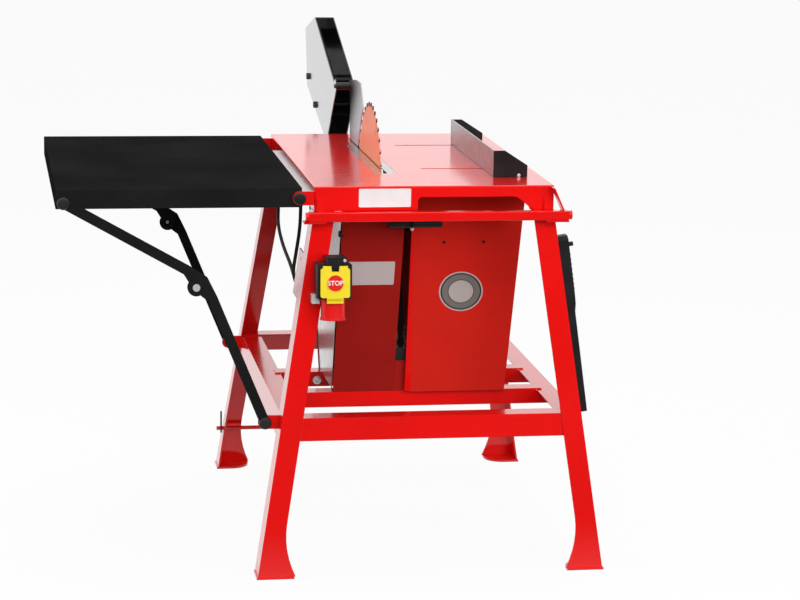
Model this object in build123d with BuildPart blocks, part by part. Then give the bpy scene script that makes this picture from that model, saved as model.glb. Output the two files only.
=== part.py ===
from build123d import *
import math
import os

os.makedirs("parts", exist_ok=True)

# Table, all sizes in millimetres, X across, Y away from the operator, Z up
TABLE_W = 524.0
TABLE_D = 816.0
TABLE_H = 850.0
SHEET = 3.0
APRON = 53.0
LIP = 32.0
TABLE_R = 5.0
BEND_R = 3.0
ARCH_LEFT = -37.0
ARCH_RIGHT = 214.0
ARCH_RISE = 29.0
ARCH_IN = 34.0
ARCH_R = 9.0
ARCH_BEND = 24.0

# Insert, fence slots and knife slot in the table
BLADE_X = -80.0
INSERT_W = 50.0
INSERT_FRONT = -238.0
INSERT_REAR = 212.0
INSERT_T = 2.0
LEDGE = 5.0
INSERT_GAP = 0.6
BLADE_SLOT = 8.0
SLOT_FRONT_Y = -163.0
SLOT_REAR_Y = 204.0
SLOT_LEFT = 10.0
SLOT_RIGHT = 236.0
SLOT_W = 9.0

# Legs, feet and stretchers
SPLAY_X = 121.0
SPLAY_FRONT = 62.0
SPLAY_BACK = 97.0
LEG_T = 4.0
LEG_W = 46.0
LEG_SIDE = 60.0
FLARE_Z = 120.0
FLARE_STEPS = 6
FOOT_WX = 82.0
FOOT_WY = 61.0
PAD_T = 5.0
PAD_R = 45.0
PAD_OUT = 2.0
TOP_PLATE = 5.0
STRETCH_TOP = 350.0
STRETCH_H = 50.0
STRETCH_T = 3.0
STRETCH_W = 45.0
CROSS_FRONT_Y = -203.0
CROSS_REAR_Y = 0.0
CROSS_H = 35.0
CROSS_W = 40.0
CROSS_LAP = 12.0
HEAD_R = 9.0
HEAD_T = 6.0

# Front rail and its brackets
RAIL = 20.0
RAIL_T = 2.0
RAIL_GAP = 10.0
RAIL_DOWN = 9.0
RAIL_LEFT = -276.0
RAIL_RIGHT = 290.0
RAIL_PLATE = 4.0
RAIL_DROP = 18.0
RAIL_FLARE = 34.0
RAIL_TAB = 30.0
CAP_T = 7.0
LEG_GAP = 0.5

# Blade, arbor and drive
BLADE_R = 175.0
BLADE_RISE = 129.0
BLADE_T = 2.2
TEETH = 36
TOOTH_H = 11.0
TIP_T = 3.2
TIP_W = 3.0
SHAFT_R = 12.5
FLANGE_R = 37.0
FLANGE_IN = 13.0
FLANGE_OUT = 8.0
NUT_AF = 36.0
NUT_T = 15.0
PULLEY_R = 34.0
PULLEY_W = 18.0
PULLEY_X = -30.0
BELT_T = 5.0
BELT_W = 12.0
BELT_GAP = 0.4
BLOCK_X = 14.0
BLOCK_L = 80.0
BLOCK_R = 31.0
BLOCK_FLANGE = 120.0
BLOCK_FLANGE_T = 7.0
RUN_GAP = 0.06
MOTOR_Y = -85.0
MOTOR_R = 72.0
MOTOR_X = 28.0
MOTOR_L = 130.0
MOTOR_FOOT = 92.0
FAN_L = 30.0
FIN_H = 5.0
FINS = 28
PLATE_T = 5.0

# Housings under the table
HOUSE_LEFT = -187.0
HOUSE_RIGHT = -50.0
HOUSE_T = 2.0
HOUSE_FRONT_TOP = -346.0
HOUSE_REAR_TOP = 332.0
COVER_LEFT = -3.0
COVER_RIGHT = 240.0
COVER_TAPER = 37.0
COVER_FRONT = -215.0
COVER_REAR = 45.0
COVER_STEP = 32.0
COVER_FOLD = 9.0
DOOR_GAP = 38.0
GAP_PLATE = 70.0
SCREW_DOWN = 105.0
COVER_SCREW = 3.5

# Riving knife and guard hood
KNIFE_T = 2.5
KNIFE_GAP = 8.0
KNIFE_REAR = 318.0
PIVOT_Y = 330.0
PIVOT_UP = 126.0
PIVOT_R = 5.0
PIVOT_LUG = 16.0
HOOD_OUT_LEFT = 37.0
HOOD_OUT_RIGHT = 12.0
HOOD_T = 2.0
HOOD_RAISED = 18.5

# Rip fence
FENCE_X = 150.0
FENCE_FRONT = -288.0
FENCE_REAR = 224.0
FENCE_H = 58.0
FENCE_T = 3.0
FENCE_BASE = 76.0
FENCE_GAP = 0.5
FENCE_END = 4.0
FENCE_BOLT = 40.0
KNOB_R = 18.0
KNOB_H = 24.0

# Extension, hinge and folding struts
EXT_GAP = 25.0
EXT_W = 522.0
EXT_SIDE = 6.0
EXT_DROP = 3.0
EXT_T = 2.0
EXT_APRON = 42.0
HINGE_OUT = 31.0
HINGE_DOWN = 25.0
EAR_T = 5.0
EAR_R = 15.0
LINK_T = 4.0
LINK_W = 22.0
KNEE_RISE = 87.6
LINK_EYE = 14.0
LINK_GAP = 0.6
STRUT_REACH = 500.0
STRUT_DOWN = 7.0
STRUT_FOOT_OUT = 31.0
STRUT_FOOT_DOWN = 15.0
PIN_R = 5.0
CAP_R = 13.0

# Switch unit on the front left leg
SWITCH_IN = 37.0
SWITCH_DOWN = 190.0
BOX_W = 74.0
BOX_H = 76.0
BOX_D = 56.0
FLAP_W = 63.0
FLAP_H = 63.0
FLAP_T = 6.0
FLAP_GAP = 3.5
BUTTON_R = 9.0
BUTTON_OUT = 3.0
BACK_T = 4.0
BACK_IN = 3.0
BOX_UP = -7.0
BOX_R = 5.0
FLAP_TOP = 22.0
LATCH_H = 12.0
HINGE_TAB = 5.0
HINGE_HALF = 9.0
HINGE_LUG = 7.0
HINGE_PIN = 1.5
DISC_T = 2.0
BUTTON_X = 15.0
BUTTON_Y = 8.0
BUTTON_L = 10.0
BUTTON_GAP = 0.4
GLAND_X = 20.0
GLAND_YS = (-10.0, -34.0)
GLAND_L = 16.0
GLAND_R = 9.0
TOP_LEFT = 17.0
TOP_RIGHT = 25.0
TOP_RISE = 14.0
SIDE_OUT = 8.0
SIDE_DOWN = 12.0
SIDE_D = 22.0
INLET_R = 26.0
INLET_L = 47.0
INLET_T = 3.0
INLET_BASE = 6.0
INLET_PINS = 5
INLET_PITCH = 13.0
INLET_PIN_R = 2.5
INLET_PIN_L = 22.0
CABLE_R = 4.0

# Push stick, axle and small pieces
STICK_L = 365.0
STICK_T = 23.0
STICK_THIN = 8.0
STICK_W = 38.0
STICK_DOWN = 115.0
AXLE_IN = 25.0
AXLE_Z = 100.0
AXLE_R = 5.0
AXLE_OVER = 17.0

# Positions that follow from the sizes
UNDER = TABLE_H - SHEET
LIP_Z = TABLE_H - APRON
LEG_TOP = LIP_Z - TOP_PLATE
COVER_TOP = LIP_Z
COVER_SIDE_TOP = COVER_TOP - COVER_STEP
RAIL_Z = LIP_Z - RAIL_DOWN
PIVOT_Z = TABLE_H + PIVOT_UP
EXT_D = TABLE_D - 2 * EXT_SIDE
SWITCH_X = SWITCH_IN - TABLE_W / 2
SWITCH_Z = TABLE_H - SWITCH_DOWN
STICK_TOP = TABLE_H - STICK_DOWN
STRUT_FOOT_Z = STRETCH_TOP - STRUT_FOOT_DOWN
AXIS_Z = TABLE_H + BLADE_RISE - BLADE_R
EXT_RIGHT = -TABLE_W / 2 - EXT_GAP
EXT_LEFT = EXT_RIGHT - EXT_W
EXT_TOP = TABLE_H - EXT_DROP
HINGE_X = -TABLE_W / 2 - HINGE_OUT
HINGE_Z = TABLE_H - HINGE_DOWN
STRUT_X = HINGE_X - STRUT_REACH
STRUT_Z = HINGE_Z - STRUT_DOWN
FLOOR_Z = STRETCH_TOP
RAIL_Y = -TABLE_D / 2 - RAIL_GAP - RAIL / 2
FOOT_X = TABLE_W / 2 + SPLAY_X
FOOT_Y = TABLE_D / 2 + SPLAY_FRONT
FOOT_BACK = TABLE_D / 2 + SPLAY_BACK
LEAN_X = SPLAY_X / LIP_Z
LEAN_Y = SPLAY_FRONT / LIP_Z
LEAN_BACK = SPLAY_BACK / LIP_Z
MOTOR_Z = FLOOR_Z + PLATE_T + MOTOR_FOOT
STRUT_FOOT_X = LEAN_X * STRUT_FOOT_Z - FOOT_X - STRUT_FOOT_OUT
AXLE_HALF = FOOT_X - LEAN_X * AXLE_Z + AXLE_OVER
AXLE_Y = FOOT_BACK - LEAN_BACK * AXLE_Z - AXLE_IN
LEAN_ANGLE = math.atan(LEAN_Y)
SIDE_ANGLE = math.atan(LEAN_X)
BOX_FRONT = BACK_T + BOX_D
BOX_LOW = BOX_UP - BOX_H / 2
BOX_HIGH = BOX_UP + BOX_H / 2
FLAP_LOW = FLAP_TOP - FLAP_H
FLAP_BACK = BOX_FRONT + FLAP_GAP
FLAP_FRONT = FLAP_BACK + FLAP_T
FLAP_MID = (FLAP_TOP + FLAP_LOW) / 2
FLAP_DISC = FLAP_W * 0.265
HINGE_LINE = FLAP_TOP + HINGE_TAB / 2
HINGE_DEEP = (FLAP_BACK + FLAP_FRONT) / 2
SIGNS = (-1, 1)


def corner_x(z):
    return FOOT_X - LEAN_X * z


def corner_y(z):
    return FOOT_Y - LEAN_Y * z


def corner_back(z):
    return FOOT_BACK - LEAN_BACK * z


def hood_point(u, w):
    turn = math.radians(HOOD_RAISED)
    y = PIVOT_Y + u * math.cos(turn) + w * math.sin(turn)
    z = PIVOT_Z + u * math.sin(turn) - w * math.cos(turn)
    return (y, z)


# Hood outline from the pivot: along the open edge, round the closed end and back along the closed edge
HOOD_OUT = [(-20, 0), (406, 0), (562, 100), (471, 221), (82, 190)]
HOOD_BACK_Y = max(hood_point(u, w)[0] for u, w in HOOD_OUT)
LATCH_REACH = FLAP_FRONT * math.cos(LEAN_ANGLE) - (FLAP_LOW - LATCH_H) * math.sin(LEAN_ANGLE)
DISC_REACH = (FLAP_FRONT + DISC_T) * math.cos(LEAN_ANGLE) - (FLAP_MID - FLAP_DISC) * math.sin(LEAN_ANGLE)
FRONT_Y = -max(FOOT_Y + PAD_OUT, corner_y(SWITCH_Z) + max(LATCH_REACH, DISC_REACH))
MID_X = (EXT_LEFT + max(FOOT_X + PAD_OUT, AXLE_HALF)) / 2
MID_Y = (FRONT_Y + HOOD_BACK_Y) / 2
HOME = Location((-MID_X, -MID_Y, 0))


def save(piece, name):
    piece.part.location = HOME
    piece.part.label = name
    export_step(piece.part, f"parts/{name}.step")


def slab(x0, x1, y0, y1, z0, z1, mode=Mode.ADD):
    with Locations(((x0 + x1) / 2, (y0 + y1) / 2, (z0 + z1) / 2)):
        Box(x1 - x0, y1 - y0, z1 - z0, mode=mode)


def rod_x(x0, x1, y, z, r, mode=Mode.ADD):
    with BuildSketch(Plane.YZ.offset(x0)) as outline:
        with Locations((y, z)):
            Circle(r)
    extrude(outline.sketch, amount=x1 - x0, mode=mode)


def rod_y(y0, y1, x, z, r, mode=Mode.ADD):
    with BuildSketch(Plane.XZ.offset(-y0)) as outline:
        with Locations((x, z)):
            Circle(r)
    extrude(outline.sketch, amount=y0 - y1, mode=mode)


def rod_z(z0, z1, x, y, r, mode=Mode.ADD):
    with BuildSketch(Plane.XY.offset(z0)) as outline:
        with Locations((x, y)):
            Circle(r)
    extrude(outline.sketch, amount=z1 - z0, mode=mode)


def plate_x(x0, x1, points, mode=Mode.ADD):
    with BuildSketch(Plane.YZ.offset(x0)) as outline:
        Polygon(*points, align=None)
    extrude(outline.sketch, amount=x1 - x0, mode=mode)


def plate_y(y0, y1, points, mode=Mode.ADD):
    with BuildSketch(Plane.XZ.offset(-y0)) as outline:
        Polygon(*points, align=None)
    extrude(outline.sketch, amount=y0 - y1, mode=mode)


# Folded sheet table with aprons, inward lips, arch, insert pocket and slots
with BuildPart() as table_top:
    slab(-TABLE_W / 2, TABLE_W / 2, -TABLE_D / 2, TABLE_D / 2, LIP_Z, TABLE_H)
    fillet(table_top.edges().filter_by(Axis.Z), TABLE_R)
    fillet(table_top.faces().sort_by(Axis.Z)[-1].edges(), BEND_R)
    slab(-TABLE_W / 2 + SHEET, TABLE_W / 2 - SHEET, -TABLE_D / 2 + SHEET, TABLE_D / 2 - SHEET,
         LIP_Z + SHEET, UNDER, Mode.SUBTRACT)
    slab(-TABLE_W / 2 + LIP, TABLE_W / 2 - LIP, -TABLE_D / 2 + LIP, TABLE_D / 2 - LIP,
         LIP_Z, LIP_Z + SHEET, Mode.SUBTRACT)
    with BuildSketch(Plane.XZ.offset(TABLE_D / 2)) as arch:
        Polygon((ARCH_LEFT, LIP_Z), (ARCH_RIGHT, LIP_Z), (ARCH_RIGHT - ARCH_IN, LIP_Z + ARCH_RISE),
                (ARCH_LEFT, LIP_Z + ARCH_RISE), align=None)
        high = arch.vertices().group_by(Axis.Y)[-1].sort_by(Axis.X)
        fillet(high[0], ARCH_R)
        fillet(arch.vertices().group_by(Axis.Y)[-1].sort_by(Axis.X)[-1], ARCH_BEND)
    extrude(amount=-LIP, mode=Mode.SUBTRACT)
    slab(BLADE_X - INSERT_W / 2, BLADE_X + INSERT_W / 2, INSERT_FRONT, INSERT_REAR,
         TABLE_H - INSERT_T, TABLE_H, Mode.SUBTRACT)
    slab(BLADE_X - INSERT_W / 2 + LEDGE, BLADE_X + INSERT_W / 2 - LEDGE,
         INSERT_FRONT + LEDGE, INSERT_REAR - LEDGE, UNDER, TABLE_H, Mode.SUBTRACT)
    slab(BLADE_X - BLADE_SLOT / 2, BLADE_X + BLADE_SLOT / 2, INSERT_REAR - LEDGE,
         KNIFE_REAR + KNIFE_GAP, UNDER, TABLE_H, Mode.SUBTRACT)
    for slot_y in (SLOT_FRONT_Y, SLOT_REAR_Y):
        with BuildSketch(Plane.XY.offset(UNDER)):
            with Locations(((SLOT_LEFT + SLOT_RIGHT) / 2, slot_y)):
                SlotOverall(SLOT_RIGHT - SLOT_LEFT, SLOT_W)
        extrude(amount=SHEET, mode=Mode.SUBTRACT)
save(table_top, "table_top")

# Loose steel insert round the blade
with BuildPart() as table_insert:
    insert_half = INSERT_W / 2 - INSERT_GAP
    slab(BLADE_X - insert_half, BLADE_X + insert_half, INSERT_FRONT + INSERT_GAP, INSERT_REAR - INSERT_GAP,
         TABLE_H - INSERT_T, TABLE_H)
    slab(BLADE_X - BLADE_SLOT / 2, BLADE_X + BLADE_SLOT / 2, INSERT_FRONT + 2 * LEDGE,
         INSERT_REAR, TABLE_H - INSERT_T, TABLE_H, Mode.SUBTRACT)
save(table_insert, "table_insert")


def leg_section(sx, sy, z, wide_x, wide_y):
    x = corner_x(z)
    y = corner_y(z) if sy < 0 else corner_back(z)
    points = [(x, y), (x - wide_x, y), (x - wide_x, y - LEG_T), (x - LEG_T, y - LEG_T),
              (x - LEG_T, y - wide_y), (x, y - wide_y)]
    with BuildSketch(Plane.XY.offset(z)) as section:
        Polygon(*[(sx * px, sy * py) for px, py in points], align=None)
    return section.sketch


# Four splayed angle legs, each with a top plate and a rounded foot pad
for sx, sy, leg_name in ((-1, -1, "leg_front_left"), (1, -1, "leg_front_right"),
                         (-1, 1, "leg_rear_left"), (1, 1, "leg_rear_right")):
    with BuildPart() as leg:
        rungs = []
        side_w = LEG_SIDE if sy < 0 else LEG_W
        for rung in range(FLARE_STEPS + 1):
            spread = (1 - rung / FLARE_STEPS) ** 2
            rung_z = PAD_T + (FLARE_Z - PAD_T) * rung / FLARE_STEPS
            rungs.append(leg_section(sx, sy, rung_z, LEG_W + (FOOT_WX - LEG_W) * spread,
                                     side_w + (FOOT_WY - side_w) * spread))
        rungs.append(leg_section(sx, sy, LEG_TOP, LEG_W, side_w))
        for low, high in zip(rungs, rungs[1:]):
            loft([low, high], ruled=True)
        top_x = corner_x(LEG_TOP)
        top_y = corner_y(LEG_TOP) if sy < 0 else corner_back(LEG_TOP)
        foot_y = FOOT_Y if sy < 0 else FOOT_BACK
        with BuildSketch(Plane.XY.offset(LEG_TOP)):
            with Locations((sx * (top_x - LEG_W / 2), sy * (top_y - LEG_W / 2))):
                Rectangle(LEG_W, LEG_W)
        extrude(amount=TOP_PLATE)
        with BuildSketch() as pad:
            with Locations((sx * (FOOT_X + PAD_OUT - FOOT_WX / 2), sy * (foot_y + PAD_OUT - FOOT_WY / 2))):
                Rectangle(FOOT_WX, FOOT_WY)
            fillet(pad.vertices().sort_by_distance((0, 0, 0))[0], PAD_R)
        extrude(amount=PAD_T)
        if sy > 0:
            rod_x(-AXLE_HALF, AXLE_HALF, AXLE_Y, AXLE_Z, AXLE_R, Mode.SUBTRACT)
    save(leg, leg_name)


def angle_points(edge, top, side):
    low = top - STRETCH_H
    return [(side * edge(low), low), (side * edge(top), top), (side * (edge(top) - STRETCH_W), top),
            (side * (edge(top) - STRETCH_W), top - STRETCH_T),
            (side * (edge(top - STRETCH_T) - STRETCH_T), top - STRETCH_T),
            (side * (edge(low) - STRETCH_T), low)]


def inner_x(z):
    return corner_x(z) - LEG_T


def inner_y(z):
    return corner_y(z) - LEG_T


def inner_back(z):
    return corner_back(z) - LEG_T


# Angle stretchers between the legs: long ones lie on top of the side ones
SIDE_TOP = STRETCH_TOP - STRETCH_T
with BuildPart() as stretchers_long:
    half = inner_x(STRETCH_TOP) - STRETCH_T
    plate_x(-half, half, angle_points(inner_y, STRETCH_TOP, -1))
    plate_x(-half, half, angle_points(inner_back, STRETCH_TOP, 1))
save(stretchers_long, "stretchers_long")
for sx, bar_name in ((-1, "stretcher_left"), (1, "stretcher_right")):
    with BuildPart() as stretcher:
        front_end = 2 * STRETCH_T - inner_y(STRETCH_TOP)
        rear_end = inner_back(STRETCH_TOP) - 2 * STRETCH_T
        plate_y(front_end, rear_end, angle_points(inner_x, SIDE_TOP, sx))
    save(stretcher, bar_name)

# Two crossbars that carry the housings and the motor
with BuildPart() as crossbars:
    ledge_x = inner_x(SIDE_TOP) - STRETCH_W
    for cross_y in (CROSS_FRONT_Y, CROSS_REAR_Y):
        slab(-ledge_x - CROSS_LAP, ledge_x + CROSS_LAP, cross_y, cross_y + CROSS_W,
             SIDE_TOP, STRETCH_TOP)
        slab(-ledge_x + 1, ledge_x - 1, cross_y, cross_y + STRETCH_T,
             STRETCH_TOP - CROSS_H, STRETCH_TOP)
        web_x = inner_x(SIDE_TOP) - STRETCH_T - 1
        slab(-web_x, web_x, cross_y, cross_y + STRETCH_T, STRETCH_TOP - CROSS_H, SIDE_TOP - STRETCH_T)
save(crossbars, "crossbars")

# Square rail tube in front of the table, open ended
with BuildPart() as front_rail:
    slab(RAIL_LEFT, RAIL_RIGHT, RAIL_Y - RAIL / 2, RAIL_Y + RAIL / 2,
         RAIL_Z - RAIL / 2, RAIL_Z + RAIL / 2)
    fillet(front_rail.edges().filter_by(Axis.X), RAIL_T)
    slab(RAIL_LEFT, RAIL_RIGHT, RAIL_Y - RAIL / 2 + RAIL_T, RAIL_Y + RAIL / 2 - RAIL_T,
         RAIL_Z - RAIL / 2 + RAIL_T, RAIL_Z + RAIL / 2 - RAIL_T, Mode.SUBTRACT)
save(front_rail, "front_rail")

# Plastic end caps pressed into the rail
with BuildPart() as rail_caps:
    for end_x, way in ((RAIL_LEFT, -1), (RAIL_RIGHT, 1)):
        rod_x(end_x, end_x + way * CAP_T, RAIL_Y, RAIL_Z, RAIL / 2)
        slab(min(end_x, end_x - way * CAP_T), max(end_x, end_x - way * CAP_T),
             RAIL_Y - RAIL / 2 + RAIL_T, RAIL_Y + RAIL / 2 - RAIL_T,
             RAIL_Z - RAIL / 2 + RAIL_T, RAIL_Z + RAIL / 2 - RAIL_T)
save(rail_caps, "rail_caps")

# Brackets from the front apron round the rail, the right one flared outwards
RAIL_LOW = RAIL_Z - RAIL / 2
RAIL_HIGH = RAIL_Z + RAIL / 2
RAIL_FRONT = RAIL_Y - RAIL / 2
BRACKET_BACK = -corner_y(RAIL_LOW - RAIL_PLATE) - LEG_GAP
BRACKET_TOP = LIP_Z + APRON / 2
with BuildPart() as rail_brackets:
    edge = TABLE_W / 2 - TABLE_R
    inner = edge - RAIL_DROP
    for way in SIGNS:
        low_x = min(way * inner, way * edge)
        high_x = max(way * inner, way * edge)
        slab(low_x, high_x, RAIL_FRONT, BRACKET_BACK, RAIL_LOW - RAIL_PLATE, RAIL_LOW)
        slab(low_x, high_x, BRACKET_BACK - RAIL_PLATE, BRACKET_BACK, RAIL_LOW, BRACKET_TOP)
        slab(low_x, high_x, BRACKET_BACK, -TABLE_D / 2, LIP_Z, BRACKET_TOP)
    slab(-edge - RAIL_TAB, -edge, RAIL_FRONT, BRACKET_BACK, RAIL_LOW - RAIL_PLATE, RAIL_LOW)
    flare_x = edge + RAIL_FLARE
    slab(edge, flare_x - RAIL_PLATE, RAIL_FRONT, BRACKET_BACK, RAIL_LOW - RAIL_PLATE, RAIL_LOW)
    plate_y(RAIL_FRONT, BRACKET_BACK,
            [(edge - RAIL_PLATE, TABLE_H - RAIL_T), (edge, TABLE_H - RAIL_T),
             (flare_x, RAIL_LOW - RAIL_PLATE), (flare_x - RAIL_PLATE, RAIL_LOW - RAIL_PLATE)])
    slab(inner, flare_x, RAIL_FRONT, RAIL_Y + RAIL / 2, RAIL_LOW, RAIL_HIGH, Mode.SUBTRACT)
save(rail_brackets, "rail_brackets")

# Red blade housing and chute: front, rear and right walls, open above and below
CHUTE_FRONT = CROSS_FRONT_Y
CHUTE_REAR = CROSS_REAR_Y + CROSS_W
HOUSE = [(HOUSE_FRONT_TOP, UNDER), (CHUTE_FRONT, FLOOR_Z), (CHUTE_REAR, FLOOR_Z), (HOUSE_REAR_TOP, UNDER)]
HOUSE_IN = [(HOUSE_FRONT_TOP + HOUSE_T, UNDER), (CHUTE_FRONT + HOUSE_T, FLOOR_Z),
            (CHUTE_REAR - HOUSE_T, FLOOR_Z), (HOUSE_REAR_TOP - HOUSE_T, UNDER)]
with BuildPart() as blade_housing:
    plate_x(HOUSE_LEFT, HOUSE_RIGHT, HOUSE)
    plate_x(HOUSE_LEFT, HOUSE_RIGHT - HOUSE_T, HOUSE_IN, Mode.SUBTRACT)
    rod_x(HOUSE_RIGHT - HOUSE_T, HOUSE_RIGHT, 0, AXIS_Z, 2 * SHAFT_R, Mode.SUBTRACT)
    slab(HOUSE_RIGHT, COVER_LEFT - COVER_FOLD - LEG_GAP, CHUTE_FRONT, CHUTE_FRONT + HOUSE_T,
         FLOOR_Z, FLOOR_Z + GAP_PLATE)
save(blade_housing, "blade_housing")

# Grey steel door that closes the left of the blade housing
with BuildPart() as housing_door:
    plate_x(HOUSE_LEFT + HOUSE_T, HOUSE_LEFT + 2 * HOUSE_T,
            [(HOUSE_IN[0][0] + DOOR_GAP, UNDER), (HOUSE_IN[1][0] + DOOR_GAP, FLOOR_Z)] + HOUSE_IN[2:])
save(housing_door, "housing_door")

# Motor cover: front, left and right walls, the front wall higher
with BuildPart() as motor_cover:
    cover_front = [(COVER_LEFT, FLOOR_Z), (COVER_RIGHT - COVER_TAPER, FLOOR_Z),
                   (COVER_RIGHT, COVER_TOP), (COVER_LEFT, COVER_TOP)]
    cover_in = [(COVER_LEFT + HOUSE_T, FLOOR_Z), (COVER_RIGHT - COVER_TAPER - HOUSE_T, FLOOR_Z),
                (COVER_RIGHT - HOUSE_T, COVER_TOP), (COVER_LEFT + HOUSE_T, COVER_TOP)]
    plate_y(COVER_FRONT, COVER_REAR, cover_front)
    plate_y(COVER_FRONT + HOUSE_T, COVER_REAR, cover_in, Mode.SUBTRACT)
    slab(COVER_LEFT, COVER_RIGHT, COVER_FRONT + HOUSE_T, COVER_REAR, COVER_SIDE_TOP, COVER_TOP,
         Mode.SUBTRACT)
    slab(COVER_LEFT - COVER_FOLD, COVER_LEFT, COVER_FRONT, COVER_FRONT + HOUSE_T, FLOOR_Z, COVER_SIDE_TOP)
    rod_x(COVER_LEFT, COVER_LEFT + HOUSE_T, MOTOR_Y, MOTOR_Z, 2 * SHAFT_R, Mode.SUBTRACT)
save(motor_cover, "motor_cover")

# Blank rating plate on the sloping front and a blank round disc on the motor cover
PLATE_LEAN = math.atan2(CHUTE_FRONT - HOUSE_FRONT_TOP, UNDER - FLOOR_Z)
PLATE_DOWN = 213.0
PLATE_Z = TABLE_H - PLATE_DOWN
PLATE_Y = CHUTE_FRONT - (PLATE_Z - FLOOR_Z) * math.tan(PLATE_LEAN)
PLATE_SIZE = (106.0, 57.0)
HOUSE_PLANE = Plane(origin=((HOUSE_LEFT + HOUSE_RIGHT) / 2, PLATE_Y, PLATE_Z), x_dir=(1, 0, 0),
                    z_dir=(0, -math.cos(PLATE_LEAN), -math.sin(PLATE_LEAN)))
DISC_LEFT = 11.0
DISC_UP = 6.0
DISC_Z = (COVER_TOP + FLOOR_Z) / 2 + DISC_UP
DISC_WIDE = 50.0
DISC_HIGH = 45.0
LABEL_T = 0.8
with BuildPart() as blank_plates:
    with BuildSketch(HOUSE_PLANE) as label:
        RectangleRounded(*PLATE_SIZE, 3)
    extrude(label.sketch, amount=LABEL_T)
    disc_x = (COVER_LEFT + COVER_RIGHT - COVER_TAPER / 2) / 2 - DISC_LEFT
    with BuildSketch(Plane.XZ.offset(-COVER_FRONT)) as disc:
        with Locations((disc_x, DISC_Z)):
            Ellipse(DISC_WIDE, DISC_HIGH)
    extrude(disc.sketch, amount=LABEL_T)
save(blank_plates, "blank_plates")

# Saw blade: plate with gullets, expansion slots and bore, turning about X
ROOT_R = BLADE_R - TOOTH_H
STEP_ANGLE = 360 / TEETH
SLOTS = 6
with BuildPart() as saw_blade:
    with BuildSketch(Plane.YZ.offset(BLADE_X - BLADE_T / 2)):
        with Locations((0, AXIS_Z)):
            Circle(ROOT_R)
            with PolarLocations(0, TEETH):
                Polygon((ROOT_R - 4, -TOOTH_H * 0.9), (ROOT_R - 4, TOOTH_H * 0.35),
                        (BLADE_R - 1.5, TOOTH_H * 0.35), (BLADE_R - 3.5, -TOOTH_H * 0.35), align=None)
            with PolarLocations(ROOT_R - 12, SLOTS, start_angle=STEP_ANGLE / 2):
                Rectangle(34, 2.5, mode=Mode.SUBTRACT)
            with PolarLocations(ROOT_R - 30, SLOTS, start_angle=STEP_ANGLE / 2):
                Circle(4, mode=Mode.SUBTRACT)
            Circle(SHAFT_R, mode=Mode.SUBTRACT)
    extrude(amount=BLADE_T)
save(saw_blade, "saw_blade")

# Hard metal tips brazed to the front of each tooth
with BuildPart() as blade_tips:
    with BuildSketch(Plane.YZ.offset(BLADE_X - TIP_T / 2)):
        with Locations((0, AXIS_Z)):
            with PolarLocations(0, TEETH):
                Polygon((ROOT_R + 1, TOOTH_H * 0.35), (ROOT_R + 1, TOOTH_H * 0.35 + TIP_W),
                        (BLADE_R - 0.5, TOOTH_H * 0.35 + TIP_W), (BLADE_R - 0.8, TOOTH_H * 0.35), align=None)
    extrude(amount=TIP_T)
save(blade_tips, "blade_tips")

# Arbor shaft with its belt pulley, two blade flanges and the nut
SHAFT_LEFT = BLADE_X - BLADE_T / 2 - FLANGE_OUT - NUT_T - 4
SHAFT_RIGHT = BLOCK_X + BLOCK_L + 6
with BuildPart() as arbor_shaft:
    rod_x(SHAFT_LEFT, SHAFT_RIGHT, 0, AXIS_Z, SHAFT_R)
    rod_x(PULLEY_X, PULLEY_X + PULLEY_W, 0, AXIS_Z, PULLEY_R + BELT_T - 1)
    with BuildSketch(Plane.YZ.offset(PULLEY_X + (PULLEY_W - BELT_W) / 2 - BELT_GAP)):
        with Locations((0, AXIS_Z)):
            Circle(PULLEY_R + BELT_T)
            Circle(PULLEY_R, mode=Mode.SUBTRACT)
    extrude(amount=BELT_W + 2 * BELT_GAP, mode=Mode.SUBTRACT)
save(arbor_shaft, "arbor_shaft")
with BuildPart() as arbor_flanges:
    for x0, x1 in ((BLADE_X - BLADE_T / 2 - FLANGE_OUT, BLADE_X - BLADE_T / 2),
                   (BLADE_X + BLADE_T / 2, BLADE_X + BLADE_T / 2 + FLANGE_IN)):
        rod_x(x0, x1, 0, AXIS_Z, FLANGE_R)
    rod_x(SHAFT_LEFT, SHAFT_RIGHT, 0, AXIS_Z, SHAFT_R, Mode.SUBTRACT)
save(arbor_flanges, "arbor_flanges")
with BuildPart() as arbor_nut:
    with BuildSketch(Plane.YZ.offset(BLADE_X - BLADE_T / 2 - FLANGE_OUT)):
        with Locations((0, AXIS_Z)):
            RegularPolygon(NUT_AF / 2, 6, major_radius=False)
            Circle(SHAFT_R, mode=Mode.SUBTRACT)
    extrude(amount=-NUT_T)
save(arbor_nut, "arbor_nut")

# Cast bearing block hung from the underside of the table
with BuildPart() as bearing_block:
    rod_x(BLOCK_X, BLOCK_X + BLOCK_L, 0, AXIS_Z, BLOCK_R)
    slab(BLOCK_X, BLOCK_X + BLOCK_L, -BLOCK_R, BLOCK_R, AXIS_Z, UNDER)
    slab(BLOCK_X, BLOCK_X + BLOCK_L, -BLOCK_FLANGE / 2, BLOCK_FLANGE / 2, UNDER - BLOCK_FLANGE_T, UNDER)
    rod_x(BLOCK_X, BLOCK_X + BLOCK_L, 0, AXIS_Z, SHAFT_R + RUN_GAP, Mode.SUBTRACT)
save(bearing_block, "bearing_block")

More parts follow.
